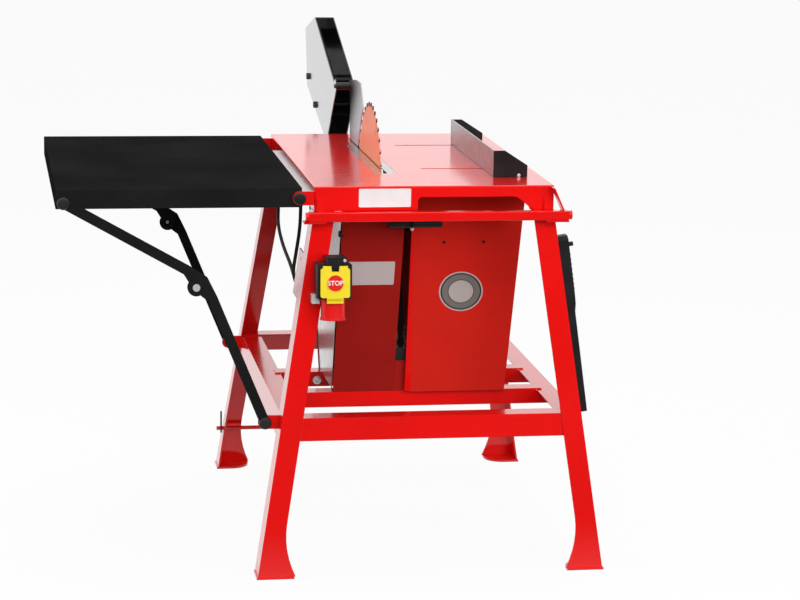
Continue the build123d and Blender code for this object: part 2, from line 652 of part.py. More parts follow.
# Motor: finned body with feet, base plate, fan cover and shaft with pulley
with BuildPart() as motor_body:
    rod_x(MOTOR_X, MOTOR_X + MOTOR_L, MOTOR_Y, MOTOR_Z, MOTOR_R - FIN_H)
    with BuildSketch(Plane.YZ.offset(MOTOR_X + MOTOR_L * 0.12)):
        with Locations((MOTOR_Y, MOTOR_Z)):
            with PolarLocations(MOTOR_R - FIN_H, FINS):
                Rectangle(2 * FIN_H, 3)
    extrude(amount=MOTOR_L * 0.76)
    for foot_y in (MOTOR_Y - MOTOR_R * 0.75, MOTOR_Y + MOTOR_R * 0.75):
        slab(MOTOR_X + 15, MOTOR_X + MOTOR_L - 15, foot_y - 11, foot_y + 11,
             FLOOR_Z + PLATE_T, MOTOR_Z - MOTOR_R * 0.3)
    rod_x(MOTOR_X, MOTOR_X + MOTOR_L, MOTOR_Y, MOTOR_Z, SHAFT_R + RUN_GAP, Mode.SUBTRACT)
save(motor_body, "motor_body")
with BuildPart() as motor_base:
    slab(MOTOR_X - 6, MOTOR_X + MOTOR_L + FAN_L, CROSS_FRONT_Y, CROSS_REAR_Y + CROSS_W,
         FLOOR_Z, FLOOR_Z + PLATE_T)
save(motor_base, "motor_base")
with BuildPart() as motor_fan_cover:
    rod_x(MOTOR_X + MOTOR_L, MOTOR_X + MOTOR_L + FAN_L, MOTOR_Y, MOTOR_Z, MOTOR_R - FIN_H)
    rod_x(MOTOR_X + MOTOR_L, MOTOR_X + MOTOR_L + FAN_L - HOUSE_T, MOTOR_Y, MOTOR_Z,
          MOTOR_R - FIN_H - HOUSE_T, Mode.SUBTRACT)
save(motor_fan_cover, "motor_fan_cover")
with BuildPart() as motor_shaft:
    rod_x(PULLEY_X, MOTOR_X + MOTOR_L + FAN_L / 2, MOTOR_Y, MOTOR_Z, SHAFT_R)
    rod_x(PULLEY_X, PULLEY_X + PULLEY_W, MOTOR_Y, MOTOR_Z, PULLEY_R + BELT_T - 1)
    with BuildSketch(Plane.YZ.offset(PULLEY_X + (PULLEY_W - BELT_W) / 2 - BELT_GAP)):
        with Locations((MOTOR_Y, MOTOR_Z)):
            Circle(PULLEY_R + BELT_T)
            Circle(PULLEY_R, mode=Mode.SUBTRACT)
    extrude(amount=BELT_W + 2 * BELT_GAP, mode=Mode.SUBTRACT)
save(motor_shaft, "motor_shaft")

# Flat drive belt round both pulleys
BELT_TURN = math.degrees(math.atan2(AXIS_Z - MOTOR_Z, -MOTOR_Y))
BELT_SPAN = math.hypot(AXIS_Z - MOTOR_Z, MOTOR_Y)
with BuildPart() as drive_belt:
    with BuildSketch(Plane.YZ.offset(PULLEY_X + (PULLEY_W - BELT_W) / 2)):
        with Locations((MOTOR_Y / 2, (AXIS_Z + MOTOR_Z) / 2)):
            SlotCenterToCenter(BELT_SPAN, 2 * (PULLEY_R + BELT_T), rotation=BELT_TURN)
            SlotCenterToCenter(BELT_SPAN, 2 * (PULLEY_R + BELT_GAP), rotation=BELT_TURN, mode=Mode.SUBTRACT)
    extrude(amount=BELT_W)
save(drive_belt, "drive_belt")

# Riving knife behind the blade, reaching back to the guard pivot
KNIFE_R = BLADE_R + KNIFE_GAP


def rim(angle):
    turn = math.radians(angle)
    return (KNIFE_R * math.cos(turn), AXIS_Z + KNIFE_R * math.sin(turn))


KNIFE_TOP = PIVOT_Z + 28
KNIFE_LOW = rim(-20)
with BuildPart() as riving_knife:
    with BuildSketch(Plane.YZ.offset(BLADE_X - KNIFE_T / 2)):
        with BuildLine():
            ThreePointArc(KNIFE_LOW, rim(16), rim(53))
            Polyline(rim(53), (rim(53)[0] + 48, KNIFE_TOP), (rim(53)[0] + 110, KNIFE_TOP),
                     (PIVOT_Y, PIVOT_Z + 14), (PIVOT_Y + 14, PIVOT_Z), (KNIFE_REAR, PIVOT_Z - 30),
                     (KNIFE_REAR, UNDER - 4), (KNIFE_REAR - 62, KNIFE_LOW[1]), KNIFE_LOW)
        make_face()
        with Locations((PIVOT_Y, PIVOT_Z)):
            Circle(14)
            Circle(PIVOT_R, mode=Mode.SUBTRACT)
    extrude(amount=KNIFE_T)
save(riving_knife, "riving_knife")

# Steel block that holds the knife against the housing wall
KNIFE_HOLDER = 50.0
with BuildPart() as knife_bracket:
    slab(BLADE_X + KNIFE_T / 2, HOUSE_RIGHT - HOUSE_T, KNIFE_LOW[0] + 18, KNIFE_LOW[0] + 18 + KNIFE_HOLDER,
         KNIFE_LOW[1] + 6, KNIFE_LOW[1] + 6 + KNIFE_HOLDER)
save(knife_bracket, "knife_bracket")

# Guard hood: two side plates joined by three strips, turned up behind the knife, open towards the blade
HOOD_LEFT = BLADE_X - HOOD_OUT_LEFT
HOOD_RIGHT = BLADE_X + HOOD_OUT_RIGHT
HOOD_BOLTS = [(452, 186), (300, 194)]


def hood_strip(start, end):
    du = end[0] - start[0]
    dw = end[1] - start[1]
    in_u = -dw / math.hypot(du, dw) * HOOD_T
    in_w = du / math.hypot(du, dw) * HOOD_T
    strip = [start, end, (end[0] + in_u, end[1] + in_w), (start[0] + in_u, start[1] + in_w)]
    return [hood_point(u, w) for u, w in strip]


with BuildPart() as guard_hood:
    for wall_x in (HOOD_LEFT, HOOD_RIGHT - HOOD_T):
        plate_x(wall_x, wall_x + HOOD_T, [hood_point(u, w) for u, w in HOOD_OUT])
        rod_x(wall_x, wall_x + HOOD_T, PIVOT_Y, PIVOT_Z, PIVOT_LUG)
    for start, end in zip(HOOD_OUT[1:], HOOD_OUT[2:]):
        plate_x(HOOD_LEFT, HOOD_RIGHT, hood_strip(start, end))
    rod_x(HOOD_LEFT, HOOD_RIGHT, PIVOT_Y, PIVOT_Z, PIVOT_R + RUN_GAP, Mode.SUBTRACT)
    for u, w in HOOD_BOLTS:
        rod_x(HOOD_LEFT, HOOD_RIGHT, *hood_point(u, w), PIVOT_R - 1, Mode.SUBTRACT)
save(guard_hood, "guard_hood")
with BuildPart() as guard_bolts:
    for u, w in HOOD_BOLTS:
        rod_x(HOOD_LEFT - HEAD_T, HOOD_RIGHT + HEAD_T, *hood_point(u, w), PIVOT_R - 1)
        for x0, x1 in ((HOOD_LEFT - HEAD_T, HOOD_LEFT), (HOOD_RIGHT, HOOD_RIGHT + HEAD_T)):
            with BuildSketch(Plane.YZ.offset(x0)) as head:
                with Locations(hood_point(u, w)):
                    RegularPolygon(HEAD_R, 6)
            extrude(head.sketch, amount=x1 - x0)
save(guard_bolts, "guard_bolts")
with BuildPart() as guard_pivot:
    rod_x(HOOD_LEFT - HOOD_T, HOOD_RIGHT + HEAD_T, PIVOT_Y, PIVOT_Z, PIVOT_R)
    for x0, x1 in ((HOOD_RIGHT + 0.5, HOOD_RIGHT + HEAD_T),
                   (HOOD_LEFT + HOOD_T + 0.5, BLADE_X - KNIFE_T / 2),
                   (BLADE_X + KNIFE_T / 2, HOOD_RIGHT - HOOD_T - 0.5)):
        rod_x(x0, x1, PIVOT_Y, PIVOT_Z, HEAD_R)
save(guard_pivot, "guard_pivot")

# Rip fence: upright face and base flange in one folded sheet, black ends, clamp bolts and knobs
FENCE_LOW = TABLE_H + FENCE_GAP
FENCE_HIGH = FENCE_LOW + FENCE_H
CLAMP_X = FENCE_X + FENCE_BOLT
with BuildPart() as fence_plate:
    slab(FENCE_X, FENCE_X + FENCE_T, FENCE_FRONT, FENCE_REAR, FENCE_LOW, FENCE_HIGH)
    slab(FENCE_X, FENCE_X + FENCE_BASE, FENCE_FRONT, FENCE_REAR, FENCE_LOW, FENCE_LOW + FENCE_T)
    for slot_y in (SLOT_FRONT_Y, SLOT_REAR_Y):
        rod_z(FENCE_LOW, FENCE_LOW + FENCE_T, CLAMP_X, slot_y, PIN_R - 1, Mode.SUBTRACT)
save(fence_plate, "fence_plate")
with BuildPart() as fence_ends:
    fence_end = [(FENCE_X, FENCE_LOW), (FENCE_X + FENCE_BASE, FENCE_LOW),
                 (FENCE_X + FENCE_BASE, FENCE_LOW + FENCE_H * 0.44),
                 (FENCE_X + FENCE_BASE / 3, FENCE_HIGH), (FENCE_X, FENCE_HIGH)]
    plate_y(FENCE_FRONT - FENCE_END, FENCE_FRONT, fence_end)
    plate_y(FENCE_REAR, FENCE_REAR + FENCE_END, fence_end)
save(fence_ends, "fence_ends")
KNOB_TOP = UNDER - 1.0
with BuildPart() as fence_bolts:
    for slot_y in (SLOT_FRONT_Y, SLOT_REAR_Y):
        rod_z(KNOB_TOP - KNOB_H, FENCE_LOW + FENCE_T, CLAMP_X, slot_y, PIN_R - 1)
        with BuildSketch(Plane.XY.offset(FENCE_LOW + FENCE_T)) as head:
            with Locations((CLAMP_X, slot_y)):
                RegularPolygon(HEAD_R - 1, 6)
        extrude(head.sketch, amount=HEAD_T)
save(fence_bolts, "fence_bolts")
with BuildPart() as fence_knobs:
    for slot_y in (SLOT_FRONT_Y, SLOT_REAR_Y):
        with BuildSketch(Plane.XY.offset(KNOB_TOP - KNOB_H)) as star:
            with Locations((CLAMP_X, slot_y)):
                Circle(KNOB_R * 0.7)
                with PolarLocations(KNOB_R * 0.65, 5):
                    Circle(KNOB_R * 0.34)
                Circle(PIN_R - 1, mode=Mode.SUBTRACT)
        extrude(star.sketch, amount=KNOB_H)
save(fence_knobs, "fence_knobs")

# Lever with a T handle working in the gap between the two housings
LEVER_Y = 120.0
LEVER_DOWN = 210.0
LEVER_Z = TABLE_H - LEVER_DOWN
LEVER_REACH = 470.0
LEVER_RISE = 117.0
LEVER_END_Y = LEVER_Y - LEVER_REACH
LEVER_END_Z = LEVER_Z + LEVER_RISE
LEVER_X = HOUSE_RIGHT + 7.0
LEVER_T = 5.0
LEVER_W = 20.0
GRIP_HALF = 59.0
GRIP_LEFT = HOUSE_RIGHT + 18.0 - GRIP_HALF
GRIP_RIGHT = HOUSE_RIGHT + 18.0 + GRIP_HALF
GRIP_R = 8.0
with BuildPart() as lever_bar:
    rise = math.atan2(LEVER_END_Z - LEVER_Z, LEVER_END_Y - LEVER_Y)
    side_y = -math.sin(rise) * LEVER_W / 2
    side_z = math.cos(rise) * LEVER_W / 2
    plate_x(LEVER_X, LEVER_X + LEVER_T,
            [(LEVER_Y + side_y, LEVER_Z + side_z), (LEVER_END_Y + side_y, LEVER_END_Z + side_z),
             (LEVER_END_Y - side_y, LEVER_END_Z - side_z), (LEVER_Y - side_y, LEVER_Z - side_z)])
    rod_x(LEVER_X, LEVER_X + LEVER_T, LEVER_Y, LEVER_Z, LEVER_W * 0.7)
    rod_x(LEVER_X, LEVER_X + LEVER_T, LEVER_END_Y, LEVER_END_Z, LEVER_W * 0.6)
    rod_x(LEVER_X, LEVER_X + LEVER_T, LEVER_Y, LEVER_Z, PIVOT_R + RUN_GAP, Mode.SUBTRACT)
    rod_x(LEVER_X, LEVER_X + LEVER_T, LEVER_END_Y, LEVER_END_Z, PIVOT_R, Mode.SUBTRACT)
save(lever_bar, "lever_bar")
with BuildPart() as lever_grip:
    rod_x(GRIP_LEFT, LEVER_X, LEVER_END_Y, LEVER_END_Z, GRIP_R)
    rod_x(LEVER_X + LEVER_T, GRIP_RIGHT, LEVER_END_Y, LEVER_END_Z, GRIP_R)
    rod_x(LEVER_X, LEVER_X + LEVER_T, LEVER_END_Y, LEVER_END_Z, PIVOT_R)
save(lever_grip, "lever_grip")

# Switch unit on a plate that lies on the front face of the left leg, with a side wing behind the leg
WING_T = 3.0
WING_LOW = 66.0
WING_HIGH = 32.0
WING_BACK = 152.0
WING_HOLE = 4.0
HOLE_BACK = 109.0


def wing_section(z):
    x = LEG_T - corner_x(z)
    y = -corner_y(z)
    with BuildSketch(Plane.XY.offset(z)) as section:
        Polygon((x, y + LEG_T), (x, y + WING_BACK), (x + WING_T, y + WING_BACK), (x + WING_T, y + LEG_T),
                align=None)
    return section.sketch


SWITCH = Plane(origin=(SWITCH_X, -corner_y(SWITCH_Z), SWITCH_Z), x_dir=(1, 0, 0),
               z_dir=(0, -math.cos(LEAN_ANGLE), math.sin(LEAN_ANGLE)))
with BuildPart() as switch_bracket:
    with BuildSketch(SWITCH) as back_plate:
        with Locations((0, BOX_UP)):
            Rectangle(BOX_W - 2 * BACK_IN, BOX_H - 2 * BACK_IN)
        for gland_y in GLAND_YS:
            with Locations((GLAND_X, gland_y)):
                Circle(CABLE_R + 1, mode=Mode.SUBTRACT)
    extrude(back_plate.sketch, amount=BACK_T)
    loft([wing_section(SWITCH_Z - WING_LOW), wing_section(SWITCH_Z + WING_HIGH)], ruled=True)
    hole_z = SWITCH_Z + WING_HIGH / 2
    hole_x = -corner_x(hole_z)
    rod_x(hole_x, hole_x + LEG_T + 2 * WING_T, HOLE_BACK - corner_y(hole_z), hole_z, WING_HOLE, Mode.SUBTRACT)
save(switch_bracket, "switch_bracket")
with BuildPart(SWITCH) as switch_box:
    slab(-BOX_W / 2, BOX_W / 2, BOX_LOW, BOX_HIGH, BACK_T, BOX_FRONT)
    fillet(switch_box.edges().filter_by(lambda e: abs(e.tangent_at(0).dot(SWITCH.z_dir)) > 0.99), BOX_R)
    slab(-TOP_LEFT, TOP_RIGHT, FLAP_TOP + HINGE_TAB + 2, BOX_HIGH + TOP_RISE, BACK_T + HEAD_T, FLAP_FRONT)
    slab(-HINGE_LUG, HINGE_LUG, FLAP_TOP - 0.5, FLAP_TOP + HINGE_TAB + 2, BOX_FRONT, FLAP_FRONT)
    with Locations((0, HINGE_LINE, HINGE_DEEP)):
        Cylinder(HINGE_PIN, FLAP_W - 2 * BOX_R, rotation=(0, 90, 0))
    for side in SIGNS:
        with Locations((side * BUTTON_X, BUTTON_Y, BOX_FRONT - BUTTON_L)):
            Cylinder(BUTTON_R + BUTTON_GAP, 2 * BUTTON_L, mode=Mode.SUBTRACT)
save(switch_box, "switch_box")
with BuildPart(SWITCH) as stop_flap:
    slab(-FLAP_W / 2, FLAP_W / 2, FLAP_LOW, FLAP_TOP, FLAP_BACK, FLAP_FRONT)
    fillet(stop_flap.edges().filter_by(lambda e: abs(e.tangent_at(0).dot(SWITCH.z_dir)) > 0.99), BOX_R)
    slab(-FLAP_W * 0.28, FLAP_W * 0.28, FLAP_LOW - LATCH_H, FLAP_LOW, FLAP_BACK, FLAP_FRONT)
    for side in SIGNS:
        tab_x = side * FLAP_W * 0.28
        slab(tab_x - HINGE_HALF, tab_x + HINGE_HALF, FLAP_TOP, FLAP_TOP + HINGE_TAB, FLAP_BACK, FLAP_FRONT)
    slab(-HINGE_LUG - 1, HINGE_LUG + 1, FLAP_TOP - HINGE_LUG, FLAP_TOP, FLAP_BACK, FLAP_FRONT, Mode.SUBTRACT)
    with Locations((0, HINGE_LINE, HINGE_DEEP)):
        Cylinder(HINGE_PIN + RUN_GAP, FLAP_W, rotation=(0, 90, 0), mode=Mode.SUBTRACT)
save(stop_flap, "stop_flap")
with BuildPart(SWITCH) as stop_disc:
    with Locations((0, FLAP_MID, FLAP_FRONT + DISC_T / 2)):
        Cylinder(FLAP_DISC, DISC_T)
save(stop_disc, "stop_disc")
for side, button_name in ((-1, "start_button"), (1, "stop_button")):
    with BuildPart(SWITCH) as button:
        with Locations((side * BUTTON_X, BUTTON_Y, BOX_FRONT + BUTTON_OUT - BUTTON_L / 2)):
            Cylinder(BUTTON_R, BUTTON_L)
    save(button, button_name)

# Round inlet with pins, opening downwards under the switch box
INLET_Z = BACK_T + BOX_D / 2
with BuildPart(SWITCH) as inlet_shroud:
    with Locations((0, BOX_LOW - INLET_L / 2, INLET_Z)):
        Cylinder(INLET_R, INLET_L, rotation=(90, 0, 0))
    with Locations((0, BOX_LOW - INLET_BASE - INLET_L / 2, INLET_Z)):
        Cylinder(INLET_R - INLET_T, INLET_L, rotation=(90, 0, 0), mode=Mode.SUBTRACT)
    for pin in range(INLET_PINS):
        angle = math.radians(90 + 360 / INLET_PINS * pin)
        with Locations((INLET_PITCH * math.cos(angle), BOX_LOW - INLET_BASE + 1 - INLET_PIN_L / 2,
                        INLET_Z + INLET_PITCH * math.sin(angle))):
            Cylinder(INLET_PIN_R, INLET_PIN_L, rotation=(90, 0, 0))
save(inlet_shroud, "inlet_shroud")

# Grey glands and side block, and two black leads from the switch behind the leg up to the table lip
LEAD_TOP_X = -TABLE_W / 2 + 12
LEAD_BACK = (0.86765, 0.38971)
LEAD_ENDS = [(LEAD_TOP_X, (back - 0.5) * TABLE_D) for back in LEAD_BACK]
with BuildPart() as cable_glands:
    for gland_y in GLAND_YS:
        with BuildSketch(SWITCH) as ring:
            with Locations((GLAND_X, gland_y)):
                Circle(GLAND_R)
        extrude(ring.sketch, amount=-GLAND_L)
    for end_x, end_y in LEAD_ENDS:
        rod_z(LIP_Z - GLAND_L, LIP_Z, end_x, end_y, GLAND_R)
    with BuildSketch(SWITCH.offset(BACK_T + SIDE_OUT)) as side_block:
        edge = -BOX_W / 2
        Polygon((edge - SIDE_OUT, BOX_LOW + SIDE_OUT), (edge - SIDE_OUT, BOX_LOW - SIDE_DOWN),
                (edge + SIDE_OUT, BOX_LOW - SIDE_DOWN), (edge + SIDE_OUT, BOX_LOW), (edge, BOX_LOW),
                (edge, BOX_LOW + SIDE_OUT), align=None)
    extrude(side_block.sketch, amount=SIDE_D)
save(cable_glands, "cable_glands")
# Each bend by its place across, its share of the table's depth and its place below the lip
LEAD_RUNS = ([(27, 0.1789, -185), (-13, 0.2402, -193), (-6, 0.4142, -181), (-5, 0.6103, -167),
              (-3, 0.7635, -140), (6, 0.8493, -102)],
             [(32, 0.1507, -205), (-6, 0.1875, -205), (-22, 0.2279, -175), (-8, 0.2917, -137),
              (6, 0.3529, -95)])
CORNER = Vector(-TABLE_W / 2, -TABLE_D / 2, LIP_Z)
LEAD_RISE = (50.0, 46.0)
LEAD_STRAIGHT = (82.0, 72.0)
for index, lead_name in ((0, "lead_motor"), (1, "lead_guard")):
    start = SWITCH.from_local_coords(Vector(GLAND_X, GLAND_YS[index], -GLAND_L))
    behind = SWITCH.from_local_coords(Vector(GLAND_X, GLAND_YS[index], -GLAND_L - LEAD_STRAIGHT[index]))
    end_x, end_y = LEAD_ENDS[index]
    end = Vector(end_x, end_y, LIP_Z - GLAND_L)
    stops = [start, behind]
    stops += [CORNER + Vector(x, share * TABLE_D, z) for x, share, z in LEAD_RUNS[index]]
    stops += [end - Vector(0, 0, LEAD_RISE[index]), end]
    bends = []
    for before, here, after in zip(stops, stops[1:], stops[2:]):
        turn = math.radians((here - before).get_angle(after - here))
        bends.append(0.45 * min((here - before).length, (after - here).length) / math.tan(turn / 2))
    with BuildPart() as lead:
        with BuildLine() as route:
            FilletPolyline(*stops, radius=bends)
        with BuildSketch(Plane(origin=start, z_dir=behind - start)):
            Circle(CABLE_R)
        sweep()
    print(lead_name, "bends", [round(bend, 1) for bend in bends],
          "fill", round(lead.part.volume / (math.pi * CABLE_R ** 2 * route.wires()[0].length), 4))
    save(lead, lead_name)

# Folding extension panel with aprons and hinge bosses
BOSS_R = 12.0
BOSS_T = 6.0
with BuildPart() as extension_panel:
    slab(EXT_LEFT, EXT_RIGHT, -EXT_D / 2, EXT_D / 2, EXT_TOP - EXT_APRON, EXT_TOP)
    fillet(extension_panel.edges().filter_by(Axis.Z), BEND_R)
    fillet(extension_panel.faces().sort_by(Axis.Z)[-1].edges(), BEND_R / 2)
    slab(EXT_LEFT + EXT_T, EXT_RIGHT - EXT_T, -EXT_D / 2 + EXT_T, EXT_D / 2 - EXT_T,
         EXT_TOP - EXT_APRON, EXT_TOP - EXT_T, Mode.SUBTRACT)
    for side in SIGNS:
        rod_y(side * EXT_D / 2, side * (EXT_D / 2 - BOSS_T), HINGE_X, HINGE_Z, BOSS_R)
        rod_y(side * EXT_D / 2, side * (EXT_D / 2 - BOSS_T), STRUT_X, STRUT_Z, BOSS_R)
    for side in SIGNS:
        rod_y(side * EXT_D / 2, side * (EXT_D / 2 - BOSS_T), HINGE_X, HINGE_Z, PIN_R + RUN_GAP, Mode.SUBTRACT)
        rod_y(side * EXT_D / 2, side * (EXT_D / 2 - BOSS_T), STRUT_X, STRUT_Z, PIN_R, Mode.SUBTRACT)
        rod_y(side * (EXT_D / 2 - BOSS_T), side * (EXT_D / 2 - 3 * BOSS_T), HINGE_X, HINGE_Z, HEAD_R + 1,
              Mode.SUBTRACT)
save(extension_panel, "extension_panel")

# Red ears on the table side for the hinge, and on the left leg and side stretcher for the struts
EAR_IN = EXT_D / 2 + LINK_GAP
EAR_OUT = EAR_IN + EAR_T
STRUT_EAR_IN = EAR_IN - 1.0
STRUT_EAR_OUT = EAR_IN + LINK_T
FOOT_HIGH = STRUT_FOOT_Z + EAR_R
FOOT_LOW = STRUT_FOOT_Z - EAR_R
with BuildPart() as pivot_ears:
    for side in SIGNS:
        plate_y(side * EAR_IN, side * EAR_OUT,
                [(-TABLE_W / 2, HINGE_Z + EAR_R), (-TABLE_W / 2, HINGE_Z - EAR_R),
                 (HINGE_X, HINGE_Z - EAR_R), (HINGE_X, HINGE_Z + EAR_R)])
        rod_y(side * EAR_IN, side * EAR_OUT, HINGE_X, HINGE_Z, EAR_R)
        rod_y(side * EAR_IN, side * EAR_OUT, HINGE_X, HINGE_Z, PIN_R, Mode.SUBTRACT)
        root = corner_x if side < 0 else inner_x
        plate_y(side * STRUT_EAR_IN, side * STRUT_EAR_OUT,
                [(-root(FOOT_HIGH), FOOT_HIGH), (-root(FOOT_LOW), FOOT_LOW),
                 (STRUT_FOOT_X, FOOT_LOW), (STRUT_FOOT_X, FOOT_HIGH)])
        rod_y(side * STRUT_EAR_IN, side * STRUT_EAR_OUT, STRUT_FOOT_X, STRUT_FOOT_Z, EAR_R)
        rod_y(side * STRUT_EAR_IN, side * STRUT_EAR_OUT, STRUT_FOOT_X, STRUT_FOOT_Z, PIN_R, Mode.SUBTRACT)
save(pivot_ears, "pivot_ears")

# Bolts with black caps and the dark cover screws: hinge and lower strut pins stay with the frame
LINK_IN = EXT_D / 2 + LINK_GAP
LINK_OUT = LINK_IN + LINK_T
OUTER_IN = LINK_OUT + LINK_GAP
OUTER_OUT = OUTER_IN + LINK_T
CAP_H = 6.0
BOSS_IN = EXT_D / 2 - BOSS_T
CAP_IN = OUTER_OUT + LINK_GAP
FOOT_IN = STRUT_EAR_IN - CAP_H
LEVER_OUT = LEVER_X + LEVER_T
with BuildPart() as frame_pins:
    for side in SIGNS:
        rod_y(side * (BOSS_IN - CAP_H), side * EAR_OUT, HINGE_X, HINGE_Z, PIN_R)
        rod_y(side * (BOSS_IN - CAP_H), side * (BOSS_IN - LINK_GAP), HINGE_X, HINGE_Z, HEAD_R)
        rod_y(side * EAR_OUT, side * (EAR_OUT + CAP_H), HINGE_X, HINGE_Z, CAP_R)
        rod_y(side * FOOT_IN, side * CAP_IN, STRUT_FOOT_X, STRUT_FOOT_Z, PIN_R)
        rod_y(side * FOOT_IN, side * STRUT_EAR_IN, STRUT_FOOT_X, STRUT_FOOT_Z, HEAD_R)
        rod_y(side * CAP_IN, side * (CAP_IN + CAP_H), STRUT_FOOT_X, STRUT_FOOT_Z, CAP_R)
    rod_x(HOUSE_RIGHT, LEVER_OUT + HEAD_T, LEVER_Y, LEVER_Z, PIVOT_R)
    rod_x(HOUSE_RIGHT, LEVER_X - LINK_GAP, LEVER_Y, LEVER_Z, HEAD_R)
    rod_x(LEVER_OUT + LINK_GAP, LEVER_OUT + HEAD_T, LEVER_Y, LEVER_Z, HEAD_R)
    for screw_x in (COVER_LEFT + COVER_RIGHT / 4, COVER_LEFT + COVER_RIGHT * 5 / 8):
        rod_y(COVER_FRONT - HOUSE_T, COVER_FRONT, screw_x, COVER_TOP - SCREW_DOWN, COVER_SCREW)
save(frame_pins, "frame_pins")
with BuildPart() as strut_pins:
    for side in SIGNS:
        rod_y(side * (BOSS_IN - CAP_H), side * (LINK_OUT + LINK_GAP), STRUT_X, STRUT_Z, PIN_R)
        rod_y(side * (BOSS_IN - CAP_H), side * BOSS_IN, STRUT_X, STRUT_Z, HEAD_R)
        rod_y(side * (LINK_OUT + LINK_GAP), side * (LINK_OUT + LINK_GAP + CAP_H), STRUT_X, STRUT_Z, CAP_R)
save(strut_pins, "strut_pins")

# Folding links: upper pair on the panel, lower pair on the legs, each lying in its own plane
HALF_SPAN = math.hypot(STRUT_FOOT_X - STRUT_X, STRUT_FOOT_Z - STRUT_Z) / 2
KNEE_X = (STRUT_X + STRUT_FOOT_X) / 2 + KNEE_RISE * (STRUT_Z - STRUT_FOOT_Z) / (2 * HALF_SPAN)
KNEE_Z = (STRUT_Z + STRUT_FOOT_Z) / 2 + KNEE_RISE * (STRUT_FOOT_X - STRUT_X) / (2 * HALF_SPAN)
LOBE_R = 19.0
LINK_SIDE = 20.0
LINK_BUTT = 8.0
SCREW_R = 4.0


def link_points(x, z, turn_side):
    length = math.hypot(KNEE_X - x, KNEE_Z - z)
    along = ((KNEE_X - x) / length, (KNEE_Z - z) / length)
    across = (-turn_side * along[1], turn_side * along[0])
    half = LINK_W / 2
    local = [(0, -half), (0, half), (length - 2 * LOBE_R, LINK_SIDE + half),
             (length + LINK_BUTT, LINK_SIDE + half), (length + LOBE_R, 0), (length - LOBE_R, 0),
             (length - 2 * LOBE_R, LINK_SIDE - half)]
    return [(x + s * along[0] + t * across[0], z + s * along[1] + t * across[1]) for s, t in local]


def link_pair(x, z, turn_side, y_in, y_out, knee_r):
    for side in SIGNS:
        plate_y(side * y_in, side * y_out, link_points(x, z, turn_side))
        rod_y(side * y_in, side * y_out, x, z, LINK_EYE)
        rod_y(side * y_in, side * y_out, KNEE_X, KNEE_Z, LOBE_R)
        rod_y(side * y_in, side * y_out, x, z, PIN_R + RUN_GAP, Mode.SUBTRACT)
        rod_y(side * y_in, side * y_out, KNEE_X, KNEE_Z, knee_r, Mode.SUBTRACT)


with BuildPart() as strut_upper:
    link_pair(STRUT_X, STRUT_Z, 1, LINK_IN, LINK_OUT, 2 * SCREW_R)
save(strut_upper, "strut_upper")
with BuildPart() as strut_lower:
    link_pair(STRUT_FOOT_X, STRUT_FOOT_Z, -1, OUTER_IN, OUTER_OUT, SCREW_R)
save(strut_lower, "strut_lower")
with BuildPart() as knee_screws:
    for side in SIGNS:
        rod_y(side * OUTER_IN, side * OUTER_OUT, KNEE_X, KNEE_Z, SCREW_R)
        rod_y(side * OUTER_OUT, side * (OUTER_OUT + 3), KNEE_X, KNEE_Z, 2 * SCREW_R)
save(knee_screws, "knee_screws")

# Push stick on a peg at the outer side of the right front leg
PEG_DOWN = 22.0
PEG_Z = STICK_TOP - PEG_DOWN
PEG_IN = 24.0
SIDE = Plane(origin=(corner_x(PEG_Z), -corner_y(PEG_Z) + PEG_IN, PEG_Z), x_dir=(0, 1, 0),
             z_dir=(math.cos(SIDE_ANGLE), 0, math.sin(SIDE_ANGLE)))
STICK_GAP = 1.0
PEG_R = 5.0
with BuildPart(SIDE) as push_stick:
    with BuildSketch(SIDE.offset(STICK_GAP)) as stick_shape:
        with BuildLine():
            Polyline((-STICK_W / 2, PEG_DOWN - 8), (-STICK_W / 2 + 8, PEG_DOWN), (STICK_W / 2 - 8, PEG_DOWN),
                     (STICK_W / 2, PEG_DOWN - 8), (STICK_W / 2, -STICK_L * 0.3),
                     (STICK_W / 3, -STICK_L * 0.4), (STICK_W / 3, PEG_DOWN - STICK_L),
                     (STICK_W / 12, PEG_DOWN - STICK_L), (0, PEG_DOWN - STICK_L + STICK_W / 2),
                     (-STICK_W / 3, PEG_DOWN - STICK_L + STICK_W / 3), (-STICK_W / 3, -STICK_L * 0.4),
                     (-STICK_W / 2, -STICK_L * 0.3), close=True)
        make_face()
        Circle(PEG_R + 1.5, mode=Mode.SUBTRACT)
    extrude(amount=STICK_T)
    with BuildSketch(Plane(origin=SIDE.origin, x_dir=SIDE.y_dir, z_dir=SIDE.x_dir)) as wedge:
        face = STICK_GAP + STICK_T
        thin = STICK_GAP + STICK_THIN
        Polygon((PEG_DOWN - STICK_L * 0.42, face), (PEG_DOWN - STICK_L * 0.7, thin),
                (PEG_DOWN - STICK_L * 1.1, thin), (PEG_DOWN - STICK_L * 1.1, face), align=None)
    extrude(wedge.sketch, amount=STICK_W, both=True, mode=Mode.SUBTRACT)
    with BuildSketch(SIDE.offset(STICK_GAP + STICK_T)):
        with GridLocations(0, STICK_L * 0.03, 1, 8):
            with Locations((0, -STICK_L * 0.16)):
                Rectangle(STICK_W * 0.8, 4)
    extrude(amount=1.5)
save(push_stick, "push_stick")

# Transport axle through the rear legs, with a dark clip on its left end
with BuildPart() as axle:
    rod_x(-AXLE_HALF, AXLE_HALF, AXLE_Y, AXLE_Z, AXLE_R)
save(axle, "axle")
CLIP_X = corner_x(AXLE_Z) + 4
with BuildPart() as axle_clip:
    with BuildSketch(Plane.YZ.offset(-CLIP_X - 3)):
        with Locations((AXLE_Y, AXLE_Z + 16)):
            SlotOverall(56, 16, rotation=90)
        with Locations((AXLE_Y, AXLE_Z)):
            Circle(AXLE_R, mode=Mode.SUBTRACT)
    extrude(amount=3)
save(axle_clip, "axle_clip")

